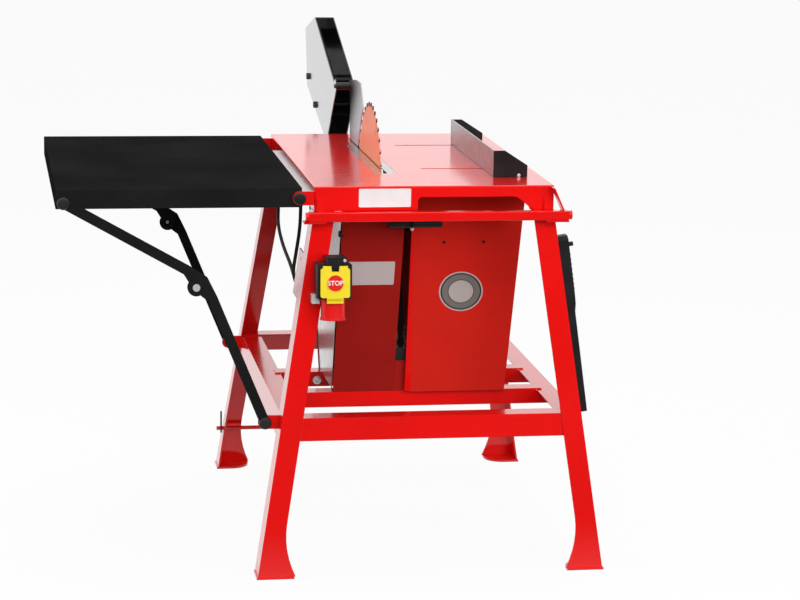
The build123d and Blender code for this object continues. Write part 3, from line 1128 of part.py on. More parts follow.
# Steel peg for the push stick
PEG_OUT = 12.0
with BuildPart() as frame_bolts:
    with BuildSketch(SIDE) as peg_shape:
        Circle(PEG_R)
    extrude(peg_shape.sketch, amount=STICK_GAP + STICK_T + PEG_OUT)
save(frame_bolts, "frame_bolts")
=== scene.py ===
import bpy
import math
from mathutils import Matrix, Vector


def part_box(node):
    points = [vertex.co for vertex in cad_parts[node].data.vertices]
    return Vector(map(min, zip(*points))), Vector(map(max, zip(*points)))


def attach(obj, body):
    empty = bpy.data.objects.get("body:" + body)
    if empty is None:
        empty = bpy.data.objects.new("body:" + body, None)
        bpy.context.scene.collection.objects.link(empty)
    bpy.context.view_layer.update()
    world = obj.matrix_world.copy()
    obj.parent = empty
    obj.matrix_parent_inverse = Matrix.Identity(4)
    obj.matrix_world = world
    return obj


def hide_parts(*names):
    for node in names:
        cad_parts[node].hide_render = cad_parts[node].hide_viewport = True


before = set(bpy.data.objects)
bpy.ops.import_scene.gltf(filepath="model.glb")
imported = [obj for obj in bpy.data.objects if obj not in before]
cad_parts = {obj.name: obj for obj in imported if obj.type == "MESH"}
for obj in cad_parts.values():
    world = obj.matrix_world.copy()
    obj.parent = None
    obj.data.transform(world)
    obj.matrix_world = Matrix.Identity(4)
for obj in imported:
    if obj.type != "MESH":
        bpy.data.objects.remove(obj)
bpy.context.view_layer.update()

# Legs and feet: four splayed legs of folded angle steel, each welded to a rounded foot pad and a small
# top plate. They are powder coated in gloss red, and the coat is a little thinner along the folds.


class Wire:
    """One socket of a finish, so that finishes are written as plain sums."""

    def __init__(self, tree, socket=None):
        self.tree = tree
        self.socket = socket

    def node(self, kind, settings, inputs, out=0):
        made = self.tree.nodes.new(kind)
        for name, value in settings.items():
            setattr(made, name, value)
        for key, value in inputs.items():
            if isinstance(value, Wire):
                self.tree.links.new(value.socket, made.inputs[key])
            else:
                made.inputs[key].default_value = value
        return Wire(self.tree, made.outputs[out])

    def sum_of(self, operation, first, second):
        return self.node("ShaderNodeMath", {"operation": operation}, {0: first, 1: second})

    def __add__(self, other):
        return self.sum_of("ADD", self, other)

    __radd__ = __add__

    def __sub__(self, other):
        return self.sum_of("SUBTRACT", self, other)

    def __rsub__(self, other):
        return self.sum_of("SUBTRACT", other, self)

    def __mul__(self, other):
        return self.sum_of("MULTIPLY", self, other)

    __rmul__ = __mul__


def new_finish(name):
    finish = bpy.data.materials.new(name)
    finish.use_nodes = True
    shader = finish.node_tree.nodes["Principled BSDF"]
    place = Wire(finish.node_tree).node("ShaderNodeTexCoord", {}, {}, "Object")
    return finish, shader, place


def grain(place, scale, detail, rough=0.5):
    return place.node("ShaderNodeTexNoise", {}, {"Vector": place, "Scale": scale, "Detail": detail,
                                                 "Roughness": rough})


def band(wire, low, high):
    """Goes from nought at low to one at high, and stays level outside."""
    return wire.node("ShaderNodeMapRange", {"clamp": True},
                     {"Value": wire, "From Min": low, "From Max": high})


def blend(part, first, second):
    return part.node("ShaderNodeMix", {"data_type": "RGBA"}, {0: part, 6: first, 7: second}, 2)


def fold(place, radius):
    """Rounded normal at folds and cut edges, and how near a point is to one."""
    rounded = place.node("ShaderNodeBevel", {"samples": 4}, {"Radius": radius})
    flat = place.node("ShaderNodeNewGeometry", {}, {}, "Normal")
    turned = place.node("ShaderNodeVectorMath", {"operation": "DOT_PRODUCT"}, {0: rounded, 1: flat}, "Value")
    return rounded, band(1 - turned, low=0.02, high=0.25)


def bump(height, strength, distance, normal):
    return height.node("ShaderNodeBump", {}, {"Height": height, "Strength": strength, "Distance": distance,
                                              "Normal": normal})


def set_finish(shader, varying, fixed):
    tree = shader.id_data
    for name, wire in varying.items():
        tree.links.new(wire.socket, shader.inputs[name])
    for name, value in fixed.items():
        shader.inputs[name].default_value = value


def coat(name, colour, deep, edge_colour, rough, coat_weight, peel, shine=0.5, depth=1.5):
    """Powder coat: slow drift of colour, orange peel, fine dust and paler folds."""
    edge_share = 0.3
    dust_share = 0.06
    dust_colour = (0.75, 0.70, 0.66, 1)
    finish, shader, place = new_finish(name)
    rounded, edge = fold(place, radius=0.0016)
    drift = grain(place, scale=5.0, detail=4.0)
    dust = band(grain(place, scale=1500.0, detail=1.0), low=0.68, high=0.76)
    orange_peel = grain(place, scale=420.0, detail=1.5)
    tint = blend(band(drift, low=0.35, high=0.7), colour, deep)
    tint = blend(edge * edge_share, tint, edge_colour)
    tint = blend(dust * dust_share, tint, dust_colour)
    set_finish(shader, {"Base Color": tint, "Roughness": rough + 0.06 * drift + 0.1 * dust,
                        "Normal": bump(orange_peel, peel, distance=0.0003, normal=rounded)},
               {"Specular IOR Level": shine, "Specular Tint": colour, "Coat Weight": coat_weight,
                "Coat Roughness": 0.13, "Coat IOR": depth})
    return finish


def dress(finish, *names):
    for name in names:
        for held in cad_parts[name].material_slots:
            held.material = finish


RED = (0.84, 0.004, 0.003, 1)
RED_DEEP = (0.77, 0.003, 0.002, 1)
RED_EDGE = (0.90, 0.02, 0.012, 1)
red_coat = coat("red_coat", RED, RED_DEEP, RED_EDGE, rough=0.24, coat_weight=1.0, peel=0.04)
dress(red_coat, "leg_front_left", "leg_front_right", "leg_rear_left", "leg_rear_right")

# Stretchers and crossbars: red angle bars welded between the legs, with a rippled bead along each joint,
# and two bars laid across them that carry the drive. A zinc plated bolt holds the rear crossbar.
ALONG_AXIS = 0.9
SMOOTH_ANGLE = 0.7


def at(x, y, z):
    """A place measured from under the table's middle, in millimetres, as a place in the frame."""
    low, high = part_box("table_top")
    return Vector(((low[0] + high[0]) / 2 + x / 1000, (low[1] + high[1]) / 2 + y / 1000, z / 1000))


def in_hand(name):
    piece = bpy.context.object
    piece.name = name
    return piece


def round_stock(name, radius, height, sides, lift=0.0):
    """Plain upright round bar, or a prism with few sides, with its middle at this lift, to be shaped."""
    bpy.ops.object.select_all(action="DESELECT")
    bpy.ops.mesh.primitive_cylinder_add(vertices=sides, radius=radius, depth=height, location=(0, 0, lift))
    piece = in_hand(name)
    bpy.ops.object.transform_apply(location=True, rotation=True, scale=True)
    return piece


def choose(kind, test):
    """Picks faces or edges of the piece in hand by their middle and direction, and opens it for shaping."""
    bpy.ops.object.mode_set(mode="EDIT")
    bpy.ops.mesh.select_mode(type=kind)
    bpy.ops.mesh.select_all(action="DESELECT")
    bpy.ops.object.mode_set(mode="OBJECT")
    mesh = bpy.context.object.data
    if kind == "FACE":
        for face in mesh.polygons:
            face.select = test(face.center, face.normal)
    else:
        for edge in mesh.edges:
            first, second = [mesh.vertices[index].co for index in edge.vertices]
            edge.select = test((first + second) / 2, (second - first).normalized())
    bpy.ops.object.mode_set(mode="EDIT")


def along(part):
    """Whether a direction runs along the axis that this part of it belongs to."""
    return abs(part) > ALONG_AXIS


def top(middle, normal):
    return normal.z > ALONG_AXIS


def ends(middle, normal):
    return along(normal.z)


def ease(width, steps):
    """Rounds the picked edges, or the edges of the picked faces."""
    bpy.ops.mesh.bevel(offset=width, segments=steps, affect="EDGES")


def put_down():
    bpy.ops.object.mode_set(mode="OBJECT")


def slice_across(places, way):
    """Rings of edges round the piece in hand, square to this way."""
    for place in places:
        bpy.ops.object.mode_set(mode="EDIT")
        bpy.ops.mesh.select_all(action="SELECT")
        bpy.ops.mesh.bisect(plane_co=way * place, plane_no=way)
    put_down()


def settle(piece, place, turn, finish, body):
    """Puts a finished piece in its place, with its place in its mesh, and lets it ride on its body."""
    bpy.ops.object.select_all(action="DESELECT")
    piece.select_set(True)
    bpy.context.view_layer.objects.active = piece
    piece.location = place
    piece.rotation_euler = turn
    bpy.ops.object.transform_apply(location=True, rotation=True, scale=True)
    bpy.ops.object.shade_smooth_by_angle(angle=SMOOTH_ANGLE)
    piece.data.materials.append(finish)
    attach(piece, body)


def settle_copies(pattern, places, finish):
    """Sets out copies of one pattern piece, each with its own mesh."""
    for name, place, turn, body in places:
        piece = pattern.copy()
        piece.data = pattern.data.copy()
        piece.name = name
        bpy.context.collection.objects.link(piece)
        settle(piece, place, turn, finish, body)
    bpy.data.objects.remove(pattern)


dress(red_coat, "stretchers_long", "stretcher_left", "stretcher_right", "crossbars")

BEAD_RADIUS = 0.0026
BEAD_LENGTH = 0.047
BEAD_EASE = 0.0012
RIPPLE = 0.00219
RIPPLES_EACH_WAY = 10
RIPPLE_WAIST = 0.74
UP_WAY = Vector((0, 0, 1))
bead = round_stock("weld_bead", BEAD_RADIUS, BEAD_LENGTH, sides=12)
slice_across([RIPPLE * step for step in range(-RIPPLES_EACH_WAY, RIPPLES_EACH_WAY + 1)], UP_WAY)
choose("EDGE", lambda middle, way: not along(way.z) and round(middle.z / RIPPLE) % 2 == 1)
bpy.ops.transform.resize(value=(RIPPLE_WAIST, RIPPLE_WAIST, 1))
choose("FACE", ends)
ease(BEAD_EASE, steps=2)
put_down()

LEG_RISE = 797
LEG_LEAN = 121
FRONT_SPLAY = 62
REAR_SPLAY = 97
FOOT_OVER = 383
FRONT_FOOT = 470
REAR_FOOT = 505
BEAD_HEIGHT = 325
BEAD_OFF_CORNER = 5
BAR_REACH = 46
FRONT_SIDE_REACH = 60
REAR_SIDE_REACH = 46
risen = BEAD_HEIGHT / LEG_RISE
over = FOOT_OVER - LEG_LEAN * risen
bead_places = []
for end, end_name, foot, splay, side_reach in ((-1, "front", FRONT_FOOT, FRONT_SPLAY, FRONT_SIDE_REACH),
                                               (1, "rear", REAR_FOOT, REAR_SPLAY, REAR_SIDE_REACH)):
    back = foot - splay * risen
    for side, side_name in ((-1, "left"), (1, "right")):
        lean = Vector((-side * LEG_LEAN, -end * splay, LEG_RISE)).to_track_quat("Z", "Y").to_euler()
        corner = "bead_" + side_name + "_" + end_name
        on_bar = at(side * (over - BAR_REACH), end * (back - BEAD_OFF_CORNER), BEAD_HEIGHT)
        on_side = at(side * (over - BEAD_OFF_CORNER), end * (back - side_reach), BEAD_HEIGHT)
        bead_places.append((corner + "_bar", on_bar, lean, "frame"))
        bead_places.append((corner + "_side", on_side, lean, "frame"))
settle_copies(bead, bead_places, red_coat)


def bare_metal(name, light, dark, rough, streak, metal=1.0):
    """Bare or plated metal: fine drawn streaks, soft cloudy tarnish and bright edges."""
    edge_share = 0.5
    edge_colour = (0.9, 0.9, 0.9, 1)
    finish, shader, place = new_finish(name)
    rounded, edge = fold(place, radius=0.0006)
    drawn = place.node("ShaderNodeMapping", {}, {"Vector": place, "Scale": streak})
    lines = grain(drawn, scale=1.0, detail=3.0)
    cloud = grain(place, scale=38.0, detail=4.0)
    tint = blend(band(cloud, low=0.3, high=0.75), light, dark)
    tint = blend(edge * edge_share, tint, edge_colour)
    set_finish(shader, {"Base Color": tint, "Roughness": rough + 0.14 * lines + 0.08 * cloud,
                        "Normal": bump(lines, strength=0.1, distance=0.0002, normal=rounded)},
               {"Metallic": metal})
    return finish


def bolt_head(name, radius, height, sides=6):
    """Hexagon head with a chamfered crown on a round washer, standing on its seat."""
    washer_radius = radius * 1.35
    washer_thick = height * 0.3
    washer_ease = height * 0.1
    head_middle = height * 0.75
    chamfer = height * 0.14
    dish_rim = radius * 0.22
    dish_depth = height * 0.07
    washer = round_stock(name + "_washer", washer_radius, washer_thick, sides=24, lift=washer_thick / 2)
    choose("FACE", top)
    ease(washer_ease, steps=2)
    put_down()
    head = round_stock(name, radius, height, sides, lift=head_middle)
    choose("FACE", top)
    ease(chamfer, steps=1)
    choose("FACE", top)
    bpy.ops.mesh.inset(thickness=dish_rim, depth=-dish_depth)
    put_down()
    washer.select_set(True)
    bpy.ops.object.join()
    return head


ZINC = (0.80, 0.80, 0.78, 1)
ZINC_DULL = (0.62, 0.62, 0.60, 1)
zinc = bare_metal("zinc_plating", ZINC, ZINC_DULL, rough=0.24, streak=(900, 900, 900), metal=0.45)
to_front = (math.pi / 2, 0, 0)
crossbar_bolt = bolt_head("crossbar_bolt", radius=0.0072, height=0.0055)
settle(crossbar_bolt, at(-195.6, -0.1, 330), to_front, zinc, "frame")

# Transport axle: a red coated steel rod that runs through both rear legs. A clip of black plastic on its
# left end holds it there.


def moulded(name, colour, paler, rough, grit=900.0, strength=0.15, shine=0.5):
    """Moulded plastic: fine spark texture, slight bloom and rubbed edges."""
    bloom_share = 0.5
    edge_share = 0.4
    finish, shader, place = new_finish(name)
    rounded, edge = fold(place, radius=0.0012)
    texture = grain(place, grit, detail=2.0)
    bloom = grain(place, scale=16.0, detail=4.0)
    tint = blend(band(bloom, low=0.35, high=0.8) * bloom_share, colour, paler)
    tint = blend(edge * edge_share, tint, paler)
    set_finish(shader, {"Base Color": tint, "Roughness": rough + 0.12 * bloom,
                        "Normal": bump(texture, strength, distance=0.0003, normal=rounded)},
               {"Specular IOR Level": shine})
    return finish


PLASTIC_BLACK = (0.010, 0.010, 0.011, 1)
PLASTIC_RUBBED = (0.030, 0.030, 0.032, 1)
black_plastic = moulded("black_plastic", PLASTIC_BLACK, PLASTIC_RUBBED, rough=0.42, shine=0.3)
dress(red_coat, "axle")
dress(black_plastic, "axle_clip")

# Table top, front rail and ears: the top is one folded red sheet with an arch cut in the front apron, and a
# square tube runs in front of it in two brackets. Red ears with black pins and bolts carry the hinge and
# the struts, and a blank white enamelled plate is glued to the apron.
ENAMEL = (0.86, 0.86, 0.86, 1)
ENAMEL_DULL = (0.80, 0.80, 0.81, 1)
ENAMEL_EDGE = (0.62, 0.60, 0.60, 1)
ENAMEL_EDGE_SHARE = 0.5
dress(red_coat, "table_top", "front_rail", "rail_brackets", "pivot_ears", "rail_caps")
dress(black_plastic, "frame_pins", "frame_bolts")
enamel, shader, place = new_finish("white_enamel")
rounded, edge = fold(place, radius=0.0008)
speck = grain(place, scale=900.0, detail=2.0)
tint = blend(band(grain(place, scale=30.0, detail=3.0), low=0.35, high=0.7), ENAMEL, ENAMEL_DULL)
tint = blend(edge * ENAMEL_EDGE_SHARE, tint, ENAMEL_EDGE)
set_finish(shader, {"Base Color": tint, "Roughness": 0.30 + 0.10 * speck,
                    "Normal": bump(speck, strength=0.04, distance=0.0002, normal=rounded)},
           {"Specular IOR Level": 0.4})


def upright(middle, way):
    return along(way.z)


def block(name, size, middle=(0, 0, 0)):
    """Plain block of this size round its middle, to be shaped."""
    bpy.ops.object.select_all(action="DESELECT")
    bpy.ops.mesh.primitive_cube_add(size=1, location=middle)
    piece = in_hand(name)
    piece.scale = size
    bpy.ops.object.transform_apply(location=True, rotation=True, scale=True)
    return piece


def thin_plate(name, width, height, thick, corner):
    """Plate with rounded corners and a shallow rim, standing on its back."""
    rim_width = corner * 0.5
    rim_depth = thick * 0.25
    plate = block(name, (width, height, thick), middle=(0, 0, thick / 2))
    choose("EDGE", upright)
    ease(corner, steps=5)
    choose("FACE", top)
    bpy.ops.mesh.inset(thickness=rim_width, depth=-rim_depth)
    put_down()
    return plate


apron_plate = thin_plate("apron_plate", width=0.113, height=0.040, thick=0.0008, corner=0.0022)
settle(apron_plate, at(-109.2, -408, 825), to_front, enamel, "frame")

# Table insert: a loose zinc plated plate let into the top, with the slot for the blade, held by two
# countersunk screws with a driver slot.
PLATED = (0.74, 0.72, 0.71, 1)
PLATED_DULL = (0.60, 0.58, 0.57, 1)
BACK_WAY = Vector((0, 1, 0))
INSERT_SCREW_X = -62
INSERT_SCREW_FRONT = -214
INSERT_SCREW_REAR = 190
INSERT_SCREW_TOP = 850.2
FRONT_SLOT_TURN = (0, 0, 0.5)
REAR_SLOT_TURN = (0, 0, 1.2)
plated = bare_metal("plated_sheet", PLATED, PLATED_DULL, rough=0.16, streak=(30, 900, 900))
dress(plated, "table_insert")


def draw_out(distance):
    """Extrudes the picked faces upwards, or downwards where the distance is negative."""
    bpy.ops.mesh.extrude_region_move(TRANSFORM_OT_translate={"value": (0, 0, distance)})


def slotted_screw(name, radius):
    """Countersunk head with a dished rim and one straight slot, flush with its sheet."""
    thick = 0.0006
    rim_width = radius * 0.12
    rim_depth = 0.00015
    slot_half = radius * 0.14
    slot_reach = radius * 0.3
    slot_depth = 0.0004
    head = round_stock(name, radius, thick, sides=24)
    choose("FACE", top)
    bpy.ops.mesh.inset(thickness=rim_width, depth=-rim_depth)
    put_down()
    slice_across((-slot_half, slot_half), BACK_WAY)
    choose("FACE", lambda middle, normal: top(middle, normal) and abs(middle.y) < slot_half
           and abs(middle.x) < slot_reach)
    draw_out(-slot_depth)
    put_down()
    return head


settle_copies(slotted_screw("insert_screw", radius=0.0038),
              [("insert_screw_front", at(INSERT_SCREW_X, INSERT_SCREW_FRONT, INSERT_SCREW_TOP),
                FRONT_SLOT_TURN, "frame"),
               ("insert_screw_rear", at(INSERT_SCREW_X, INSERT_SCREW_REAR, INSERT_SCREW_TOP),
                REAR_SLOT_TURN, "frame")], zinc)

# Blade housing and motor cover: red folded sheet that closes the drive in, with a galvanised door on
# the left and its square black latch. Two blank foil plates, one oblong and one oval, are glued on, and
# a tapered lip is welded along the cover's left edge.
# The housing's and the cover's reds are painted shade: they are darker and duller than the frame's red to
# stand in for the shade under the table, and the sheet itself has the frame's red paint.
HOUSING_SHADED_RED = (0.36, 0.014, 0.011, 1)
HOUSING_SHADED_DEEP = (0.30, 0.012, 0.009, 1)
HOUSING_SHADED_EDGE = (0.50, 0.03, 0.02, 1)
COVER_SHADED_RED = (0.66, 0.020, 0.013, 1)
COVER_SHADED_DEEP = (0.58, 0.018, 0.011, 1)
COVER_SHADED_EDGE = (0.80, 0.04, 0.03, 1)
housing_painted_shade = coat("housing_painted_shade_coat", HOUSING_SHADED_RED, HOUSING_SHADED_DEEP, HOUSING_SHADED_EDGE, rough=0.45, coat_weight=0.0,
                peel=0.06, shine=0.12)
cover_painted_shade = coat("cover_painted_shade_coat", COVER_SHADED_RED, COVER_SHADED_DEEP, COVER_SHADED_EDGE, rough=0.85, coat_weight=0.0,
                 peel=0.06, shine=0.10)
dress(housing_painted_shade, "blade_housing")
dress(cover_painted_shade, "motor_cover")

FLAKE_PALE = (0.70, 0.71, 0.73, 1)
FLAKE_DULL = (0.66, 0.67, 0.69, 1)
galvanised, shader, place = new_finish("galvanised_sheet")
rounded = fold(place, radius=0.0008)[0]
flakes = place.node("ShaderNodeTexVoronoi", {"feature": "F1"}, {"Vector": place, "Scale": 45.0}, "Color")
flake = place.node("ShaderNodeSeparateColor", {}, {"Color": flakes}, "Red")
set_finish(shader, {"Base Color": blend(flake, FLAKE_PALE, FLAKE_DULL), "Roughness": 0.18 + 0.03 * flake,
                    "Normal": bump(flake, strength=0.002, distance=0.0002, normal=rounded)},
           {"Metallic": 0.85})
dress(galvanised, "housing_door")

FOIL = (0.55, 0.48, 0.47, 1)
FOIL_PALE = (0.62, 0.56, 0.55, 1)
OVAL_FIELD = (0.20, 0.19, 0.18, 1)
OVAL_LINE = (0.025, 0.022, 0.020, 1)
OVAL_CENTRE = (0.52, 0.48, 0.46, 1)
OVAL_HALF_WIDTH = 0.050
OVAL_HALF_HEIGHT = 0.045
oval = at(98.25, -215, 579.5)
foil, shader, place = new_finish("plate_foil")
rounded = fold(place, radius=0.0006)[0]
drawn = place.node("ShaderNodeMapping", {}, {"Vector": place, "Scale": (40, 900, 900)})
brushed = grain(drawn, scale=1.0, detail=3.0)
across = (place.node("ShaderNodeSeparateXYZ", {}, {"Vector": place}, "X") - oval.x) * (1 / OVAL_HALF_WIDTH)
upward = (place.node("ShaderNodeSeparateXYZ", {}, {"Vector": place}, "Z") - oval.z) * (1 / OVAL_HALF_HEIGHT)
spread = across * across + upward * upward
field = band(spread, low=0.88, high=0.85)
outer_line = field * band(spread, low=0.74, high=0.76)
inner_line = band(spread, low=0.37, high=0.35) * band(spread, low=0.31, high=0.33)
centre = band(spread, low=0.33, high=0.31)
tint = blend(brushed, FOIL, FOIL_PALE)
tint = blend(field, tint, OVAL_FIELD)
tint = blend(outer_line + inner_line, tint, OVAL_LINE)
tint = blend(centre, tint, OVAL_CENTRE)
set_finish(shader, {"Base Color": tint, "Roughness": 0.36 + 0.14 * brushed,
                    "Normal": bump(brushed, strength=0.05, distance=0.0002, normal=rounded)},
           {"Metallic": 0.2})
dress(foil, "blank_plates")

LATCH_SIDE = 0.013
LATCH_CORNER = 0.002
LATCH_RIM = 0.0028
LATCH_HOLLOW = 0.004
to_left = (0, -math.pi / 2, 0)
latch = block("door_latch", (LATCH_SIDE, LATCH_SIDE, LATCH_SIDE))
choose("EDGE", upright)
ease(LATCH_CORNER, steps=3)
choose("FACE", top)
bpy.ops.mesh.inset(thickness=LATCH_RIM, depth=0.0)
draw_out(-LATCH_HOLLOW)
put_down()
settle(latch, at(-187.2, -305, 729), to_left, black_plastic, "frame")

LIP_WIDTH = 0.0138
LIP_LENGTH = 0.413
LIP_THICK = 0.0018
LIP_TAPER = 0.010
LIP_EASE = 0.0008
lip = block("cover_lip", (LIP_WIDTH, LIP_LENGTH, LIP_THICK),
            middle=(-LIP_WIDTH / 2, LIP_LENGTH / 2, LIP_THICK / 2))
choose("EDGE", lambda middle, way: along(way.z) and middle.x < -LIP_WIDTH / 2 and middle.y > LIP_LENGTH / 2)
bpy.ops.transform.translate(value=(LIP_TAPER, 0, 0))
choose("EDGE", lambda middle, way: along(way.y) and middle.x < -LIP_TAPER / 2)
ease(LIP_EASE, steps=3)
put_down()
settle(lip, at(-12.1, -213.4, 352), to_front, red_coat, "frame")

# Motor and belt: a finned grey motor on a black base plate drives the arbor by a flat rubber belt, and the
# arbor turns in a cast block hung under the table. The motor has a terminal box and a ringed fan grille.
# Rubber seals close the hole round its shaft and the foot of the gap between the housings.


def cast_skin(name, colour, deep):
    """Cast metal: sandy skin, cloudy colour and rubbed edges."""
    edge_share = 0.4
    edge_colour = (0.4, 0.4, 0.4, 1)
    finish, shader, place = new_finish(name)
    rounded, edge = fold(place, radius=0.0014)
    sand = grain(place, scale=700.0, detail=3.0, rough=0.6)
    tint = blend(band(grain(place, scale=22.0, detail=4.0), low=0.3, high=0.75), colour, deep)
    tint = blend(edge * edge_share, tint, edge_colour)
    set_finish(shader, {"Base Color": tint, "Roughness": 0.48 + 0.2 * sand,
                        "Normal": bump(sand, strength=0.35, distance=0.0005, normal=rounded)}, {})
    return finish


def ring(name, outer, wall, height):
    """Round band with an open middle and eased rims, standing on its back."""
    rim_reach = wall * 0.2
    rim_ease = min(wall, height) * 0.3
    piece = round_stock(name, outer, height, sides=48, lift=height / 2)
    choose("FACE", ends)
    bpy.ops.mesh.inset(thickness=wall, depth=0.0)
    choose("FACE", lambda middle, normal: ends(middle, normal) and middle.length < height + wall)
    bpy.ops.mesh.bridge_edge_loops()
    choose("EDGE", lambda middle, way: not along(way.z)
           and abs(middle.to_2d().length - outer) < rim_reach)
    ease(rim_ease, steps=2)
    put_down()
    return piece


COAT_BLACK = (0.011, 0.011, 0.011, 1)
COAT_BLACK_DEEP = (0.016, 0.016, 0.016, 1)
COAT_BLACK_EDGE = (0.035, 0.035, 0.035, 1)
STEEL = (0.60, 0.59, 0.58, 1)
STEEL_DULL = (0.46, 0.45, 0.44, 1)
RUBBER = (0.012, 0.012, 0.012, 1)
RUBBER_RUBBED = (0.030, 0.030, 0.029, 1)
CASING = (0.20, 0.21, 0.22, 1)
CASING_DEEP = (0.15, 0.155, 0.16, 1)
IRON = (0.11, 0.11, 0.112, 1)
IRON_DEEP = (0.075, 0.075, 0.076, 1)
black_coat = coat("black_coat", COAT_BLACK, COAT_BLACK_DEEP, COAT_BLACK_EDGE, rough=0.80, coat_weight=0.0,
                  peel=0.12, shine=0.0)
steel = bare_metal("bright_steel", STEEL, STEEL_DULL, rough=0.2, streak=(60, 900, 900))
rubber = moulded("black_rubber", RUBBER, RUBBER_RUBBED, rough=0.55, grit=1400.0, strength=0.3, shine=0.3)
motor_grey = cast_skin("motor_casing", CASING, CASING_DEEP)
cast_iron = cast_skin("cast_iron", IRON, IRON_DEEP)
dress(motor_grey, "motor_body")
dress(cast_iron, "bearing_block")
dress(black_coat, "motor_base")
dress(black_plastic, "motor_fan_cover")
dress(steel, "motor_shaft", "arbor_shaft")
dress(rubber, "drive_belt")

MOTOR_Y = -85
MOTOR_Z = 447
TERMINAL_BOX = (0.076, 0.062, 0.034)
TERMINAL_CORNER = 0.007
LID_STEP = 0.0015
LID_THICK = 0.006
LID_SCALE = (0.96, 0.95, 1)
LID_EASE = 0.002
to_back = (-math.pi / 2, 0, 0)
terminal_box = block("terminal_box", TERMINAL_BOX)
choose("EDGE", upright)
ease(TERMINAL_CORNER, steps=4)
choose("FACE", top)
draw_out(LID_STEP)
bpy.ops.transform.resize(value=LID_SCALE)
draw_out(LID_THICK)
ease(LID_EASE, steps=2)
put_down()
settle(terminal_box, at(93, 4, MOTOR_Z), to_back, motor_grey, "frame")

GRILLE_RADIUS = 0.058
GRILLE_THICK = 0.003
GRILLE_RINGS = 7
GRILLE_PITCH = 0.0066
GRILLE_RISE = 0.002
to_right = (0, math.pi / 2, 0)
grille = round_stock("fan_grille", GRILLE_RADIUS, GRILLE_THICK, sides=48)
choose("FACE", top)
for number in range(GRILLE_RINGS):
    bpy.ops.mesh.inset(thickness=GRILLE_PITCH, depth=0.0)
    draw_out(GRILLE_RISE * (-1) ** number)
put_down()
settle(grille, at(189.4, MOTOR_Y, MOTOR_Z), to_right, black_plastic, "frame")
shaft_seal = ring("shaft_seal", outer=0.0265, wall=0.0130, height=0.002)
settle(shaft_seal, at(-5.1, MOTOR_Y, MOTOR_Z), to_right, rubber, "frame")

STRIP_WIDTH = 0.036
STRIP_THICK = 0.002
STRIP_HEIGHT = 0.030
STRIP_CORNER = 0.005
STRIP_EASE = 0.0006
slot_seal = block("slot_seal", (STRIP_WIDTH, STRIP_THICK, STRIP_HEIGHT), middle=(0, 0, STRIP_HEIGHT / 2))
choose("EDGE", lambda middle, way: along(way.y) and middle.x > 0 and middle.z > STRIP_HEIGHT / 2)
ease(STRIP_CORNER, steps=4)
choose("EDGE", lambda middle, way: along(way.x) and middle.z > STRIP_HEIGHT / 2)
ease(STRIP_EASE, steps=2)
put_down()
settle(slot_seal, at(-31.4, -201.8, 419.8), (0, 0, 0), rubber, "frame")

# Saw blade: a toothed steel plate lacquered orange red, with hard metal tips brazed on, clamped between
# two steel flanges by a nut on the arbor.
LACQUER = (0.88, 0.22, 0.06, 1)
LACQUER_DEEP = (0.84, 0.18, 0.045, 1)
LACQUER_EDGE = (0.75, 0.60, 0.52, 1)
LACQUER_EDGE_SHARE = 0.6
HARD_METAL = (0.16, 0.16, 0.17, 1)
HARD_METAL_DARK = (0.10, 0.10, 0.11, 1)
lacquer, shader, place = new_finish("blade_lacquer")
rounded, edge = fold(place, radius=0.0006)
ground = grain(place, scale=260.0, detail=3.0)
tint = blend(band(grain(place, scale=14.0, detail=3.0), low=0.35, high=0.7), LACQUER, LACQUER_DEEP)
tint = blend(edge * LACQUER_EDGE_SHARE, tint, LACQUER_EDGE)
set_finish(shader, {"Base Color": tint, "Roughness": 0.24 + 0.12 * ground,
                    "Normal": bump(ground, strength=0.06, distance=0.0002, normal=rounded)},
           {"Specular IOR Level": 0.25})
dress(lacquer, "saw_blade")
hard_metal = bare_metal("hard_metal", HARD_METAL, HARD_METAL_DARK, rough=0.3, streak=(900, 900, 900))
dress(hard_metal, "blade_tips")
dress(steel, "arbor_flanges", "arbor_nut")

# Riving knife: a plate of polished steel behind the blade, clamped to the housing by a steel block. It
# reaches back to the pivot on which the guard turns.
KNIFE_STEEL = (0.62, 0.62, 0.64, 1)
KNIFE_STEEL_DULL = (0.50, 0.50, 0.52, 1)
knife_steel = bare_metal("knife_steel", KNIFE_STEEL, KNIFE_STEEL_DULL, rough=0.2, streak=(900, 30, 900))
dress(knife_steel, "riving_knife")
dress(steel, "knife_bracket")

# Guard hood: two sheet steel sides joined along the closed edge, coated gloss black and shown turned up
# behind the blade. Two bolts hold the sides, and a narrow satin black flange runs along the open edge of
# the left one.
HOOD_BLACK = (0.008, 0.008, 0.008, 1)
HOOD_DEEP = (0.012, 0.012, 0.012, 1)
HOOD_EDGE = (0.05, 0.05, 0.05, 1)
BLACKED = (0.09, 0.09, 0.09, 1)
BLACKED_DARK = (0.05, 0.05, 0.05, 1)
hood_coat = coat("hood_coat", HOOD_BLACK, HOOD_DEEP, HOOD_EDGE, rough=0.10, coat_weight=1.0, peel=0.03,
                 shine=0.9, depth=2.0)
blacked = bare_metal("blacked_steel", BLACKED, BLACKED_DARK, rough=0.34, streak=(700, 700, 700))
dress(hood_coat, "guard_hood")
dress(blacked, "guard_bolts", "guard_pivot")

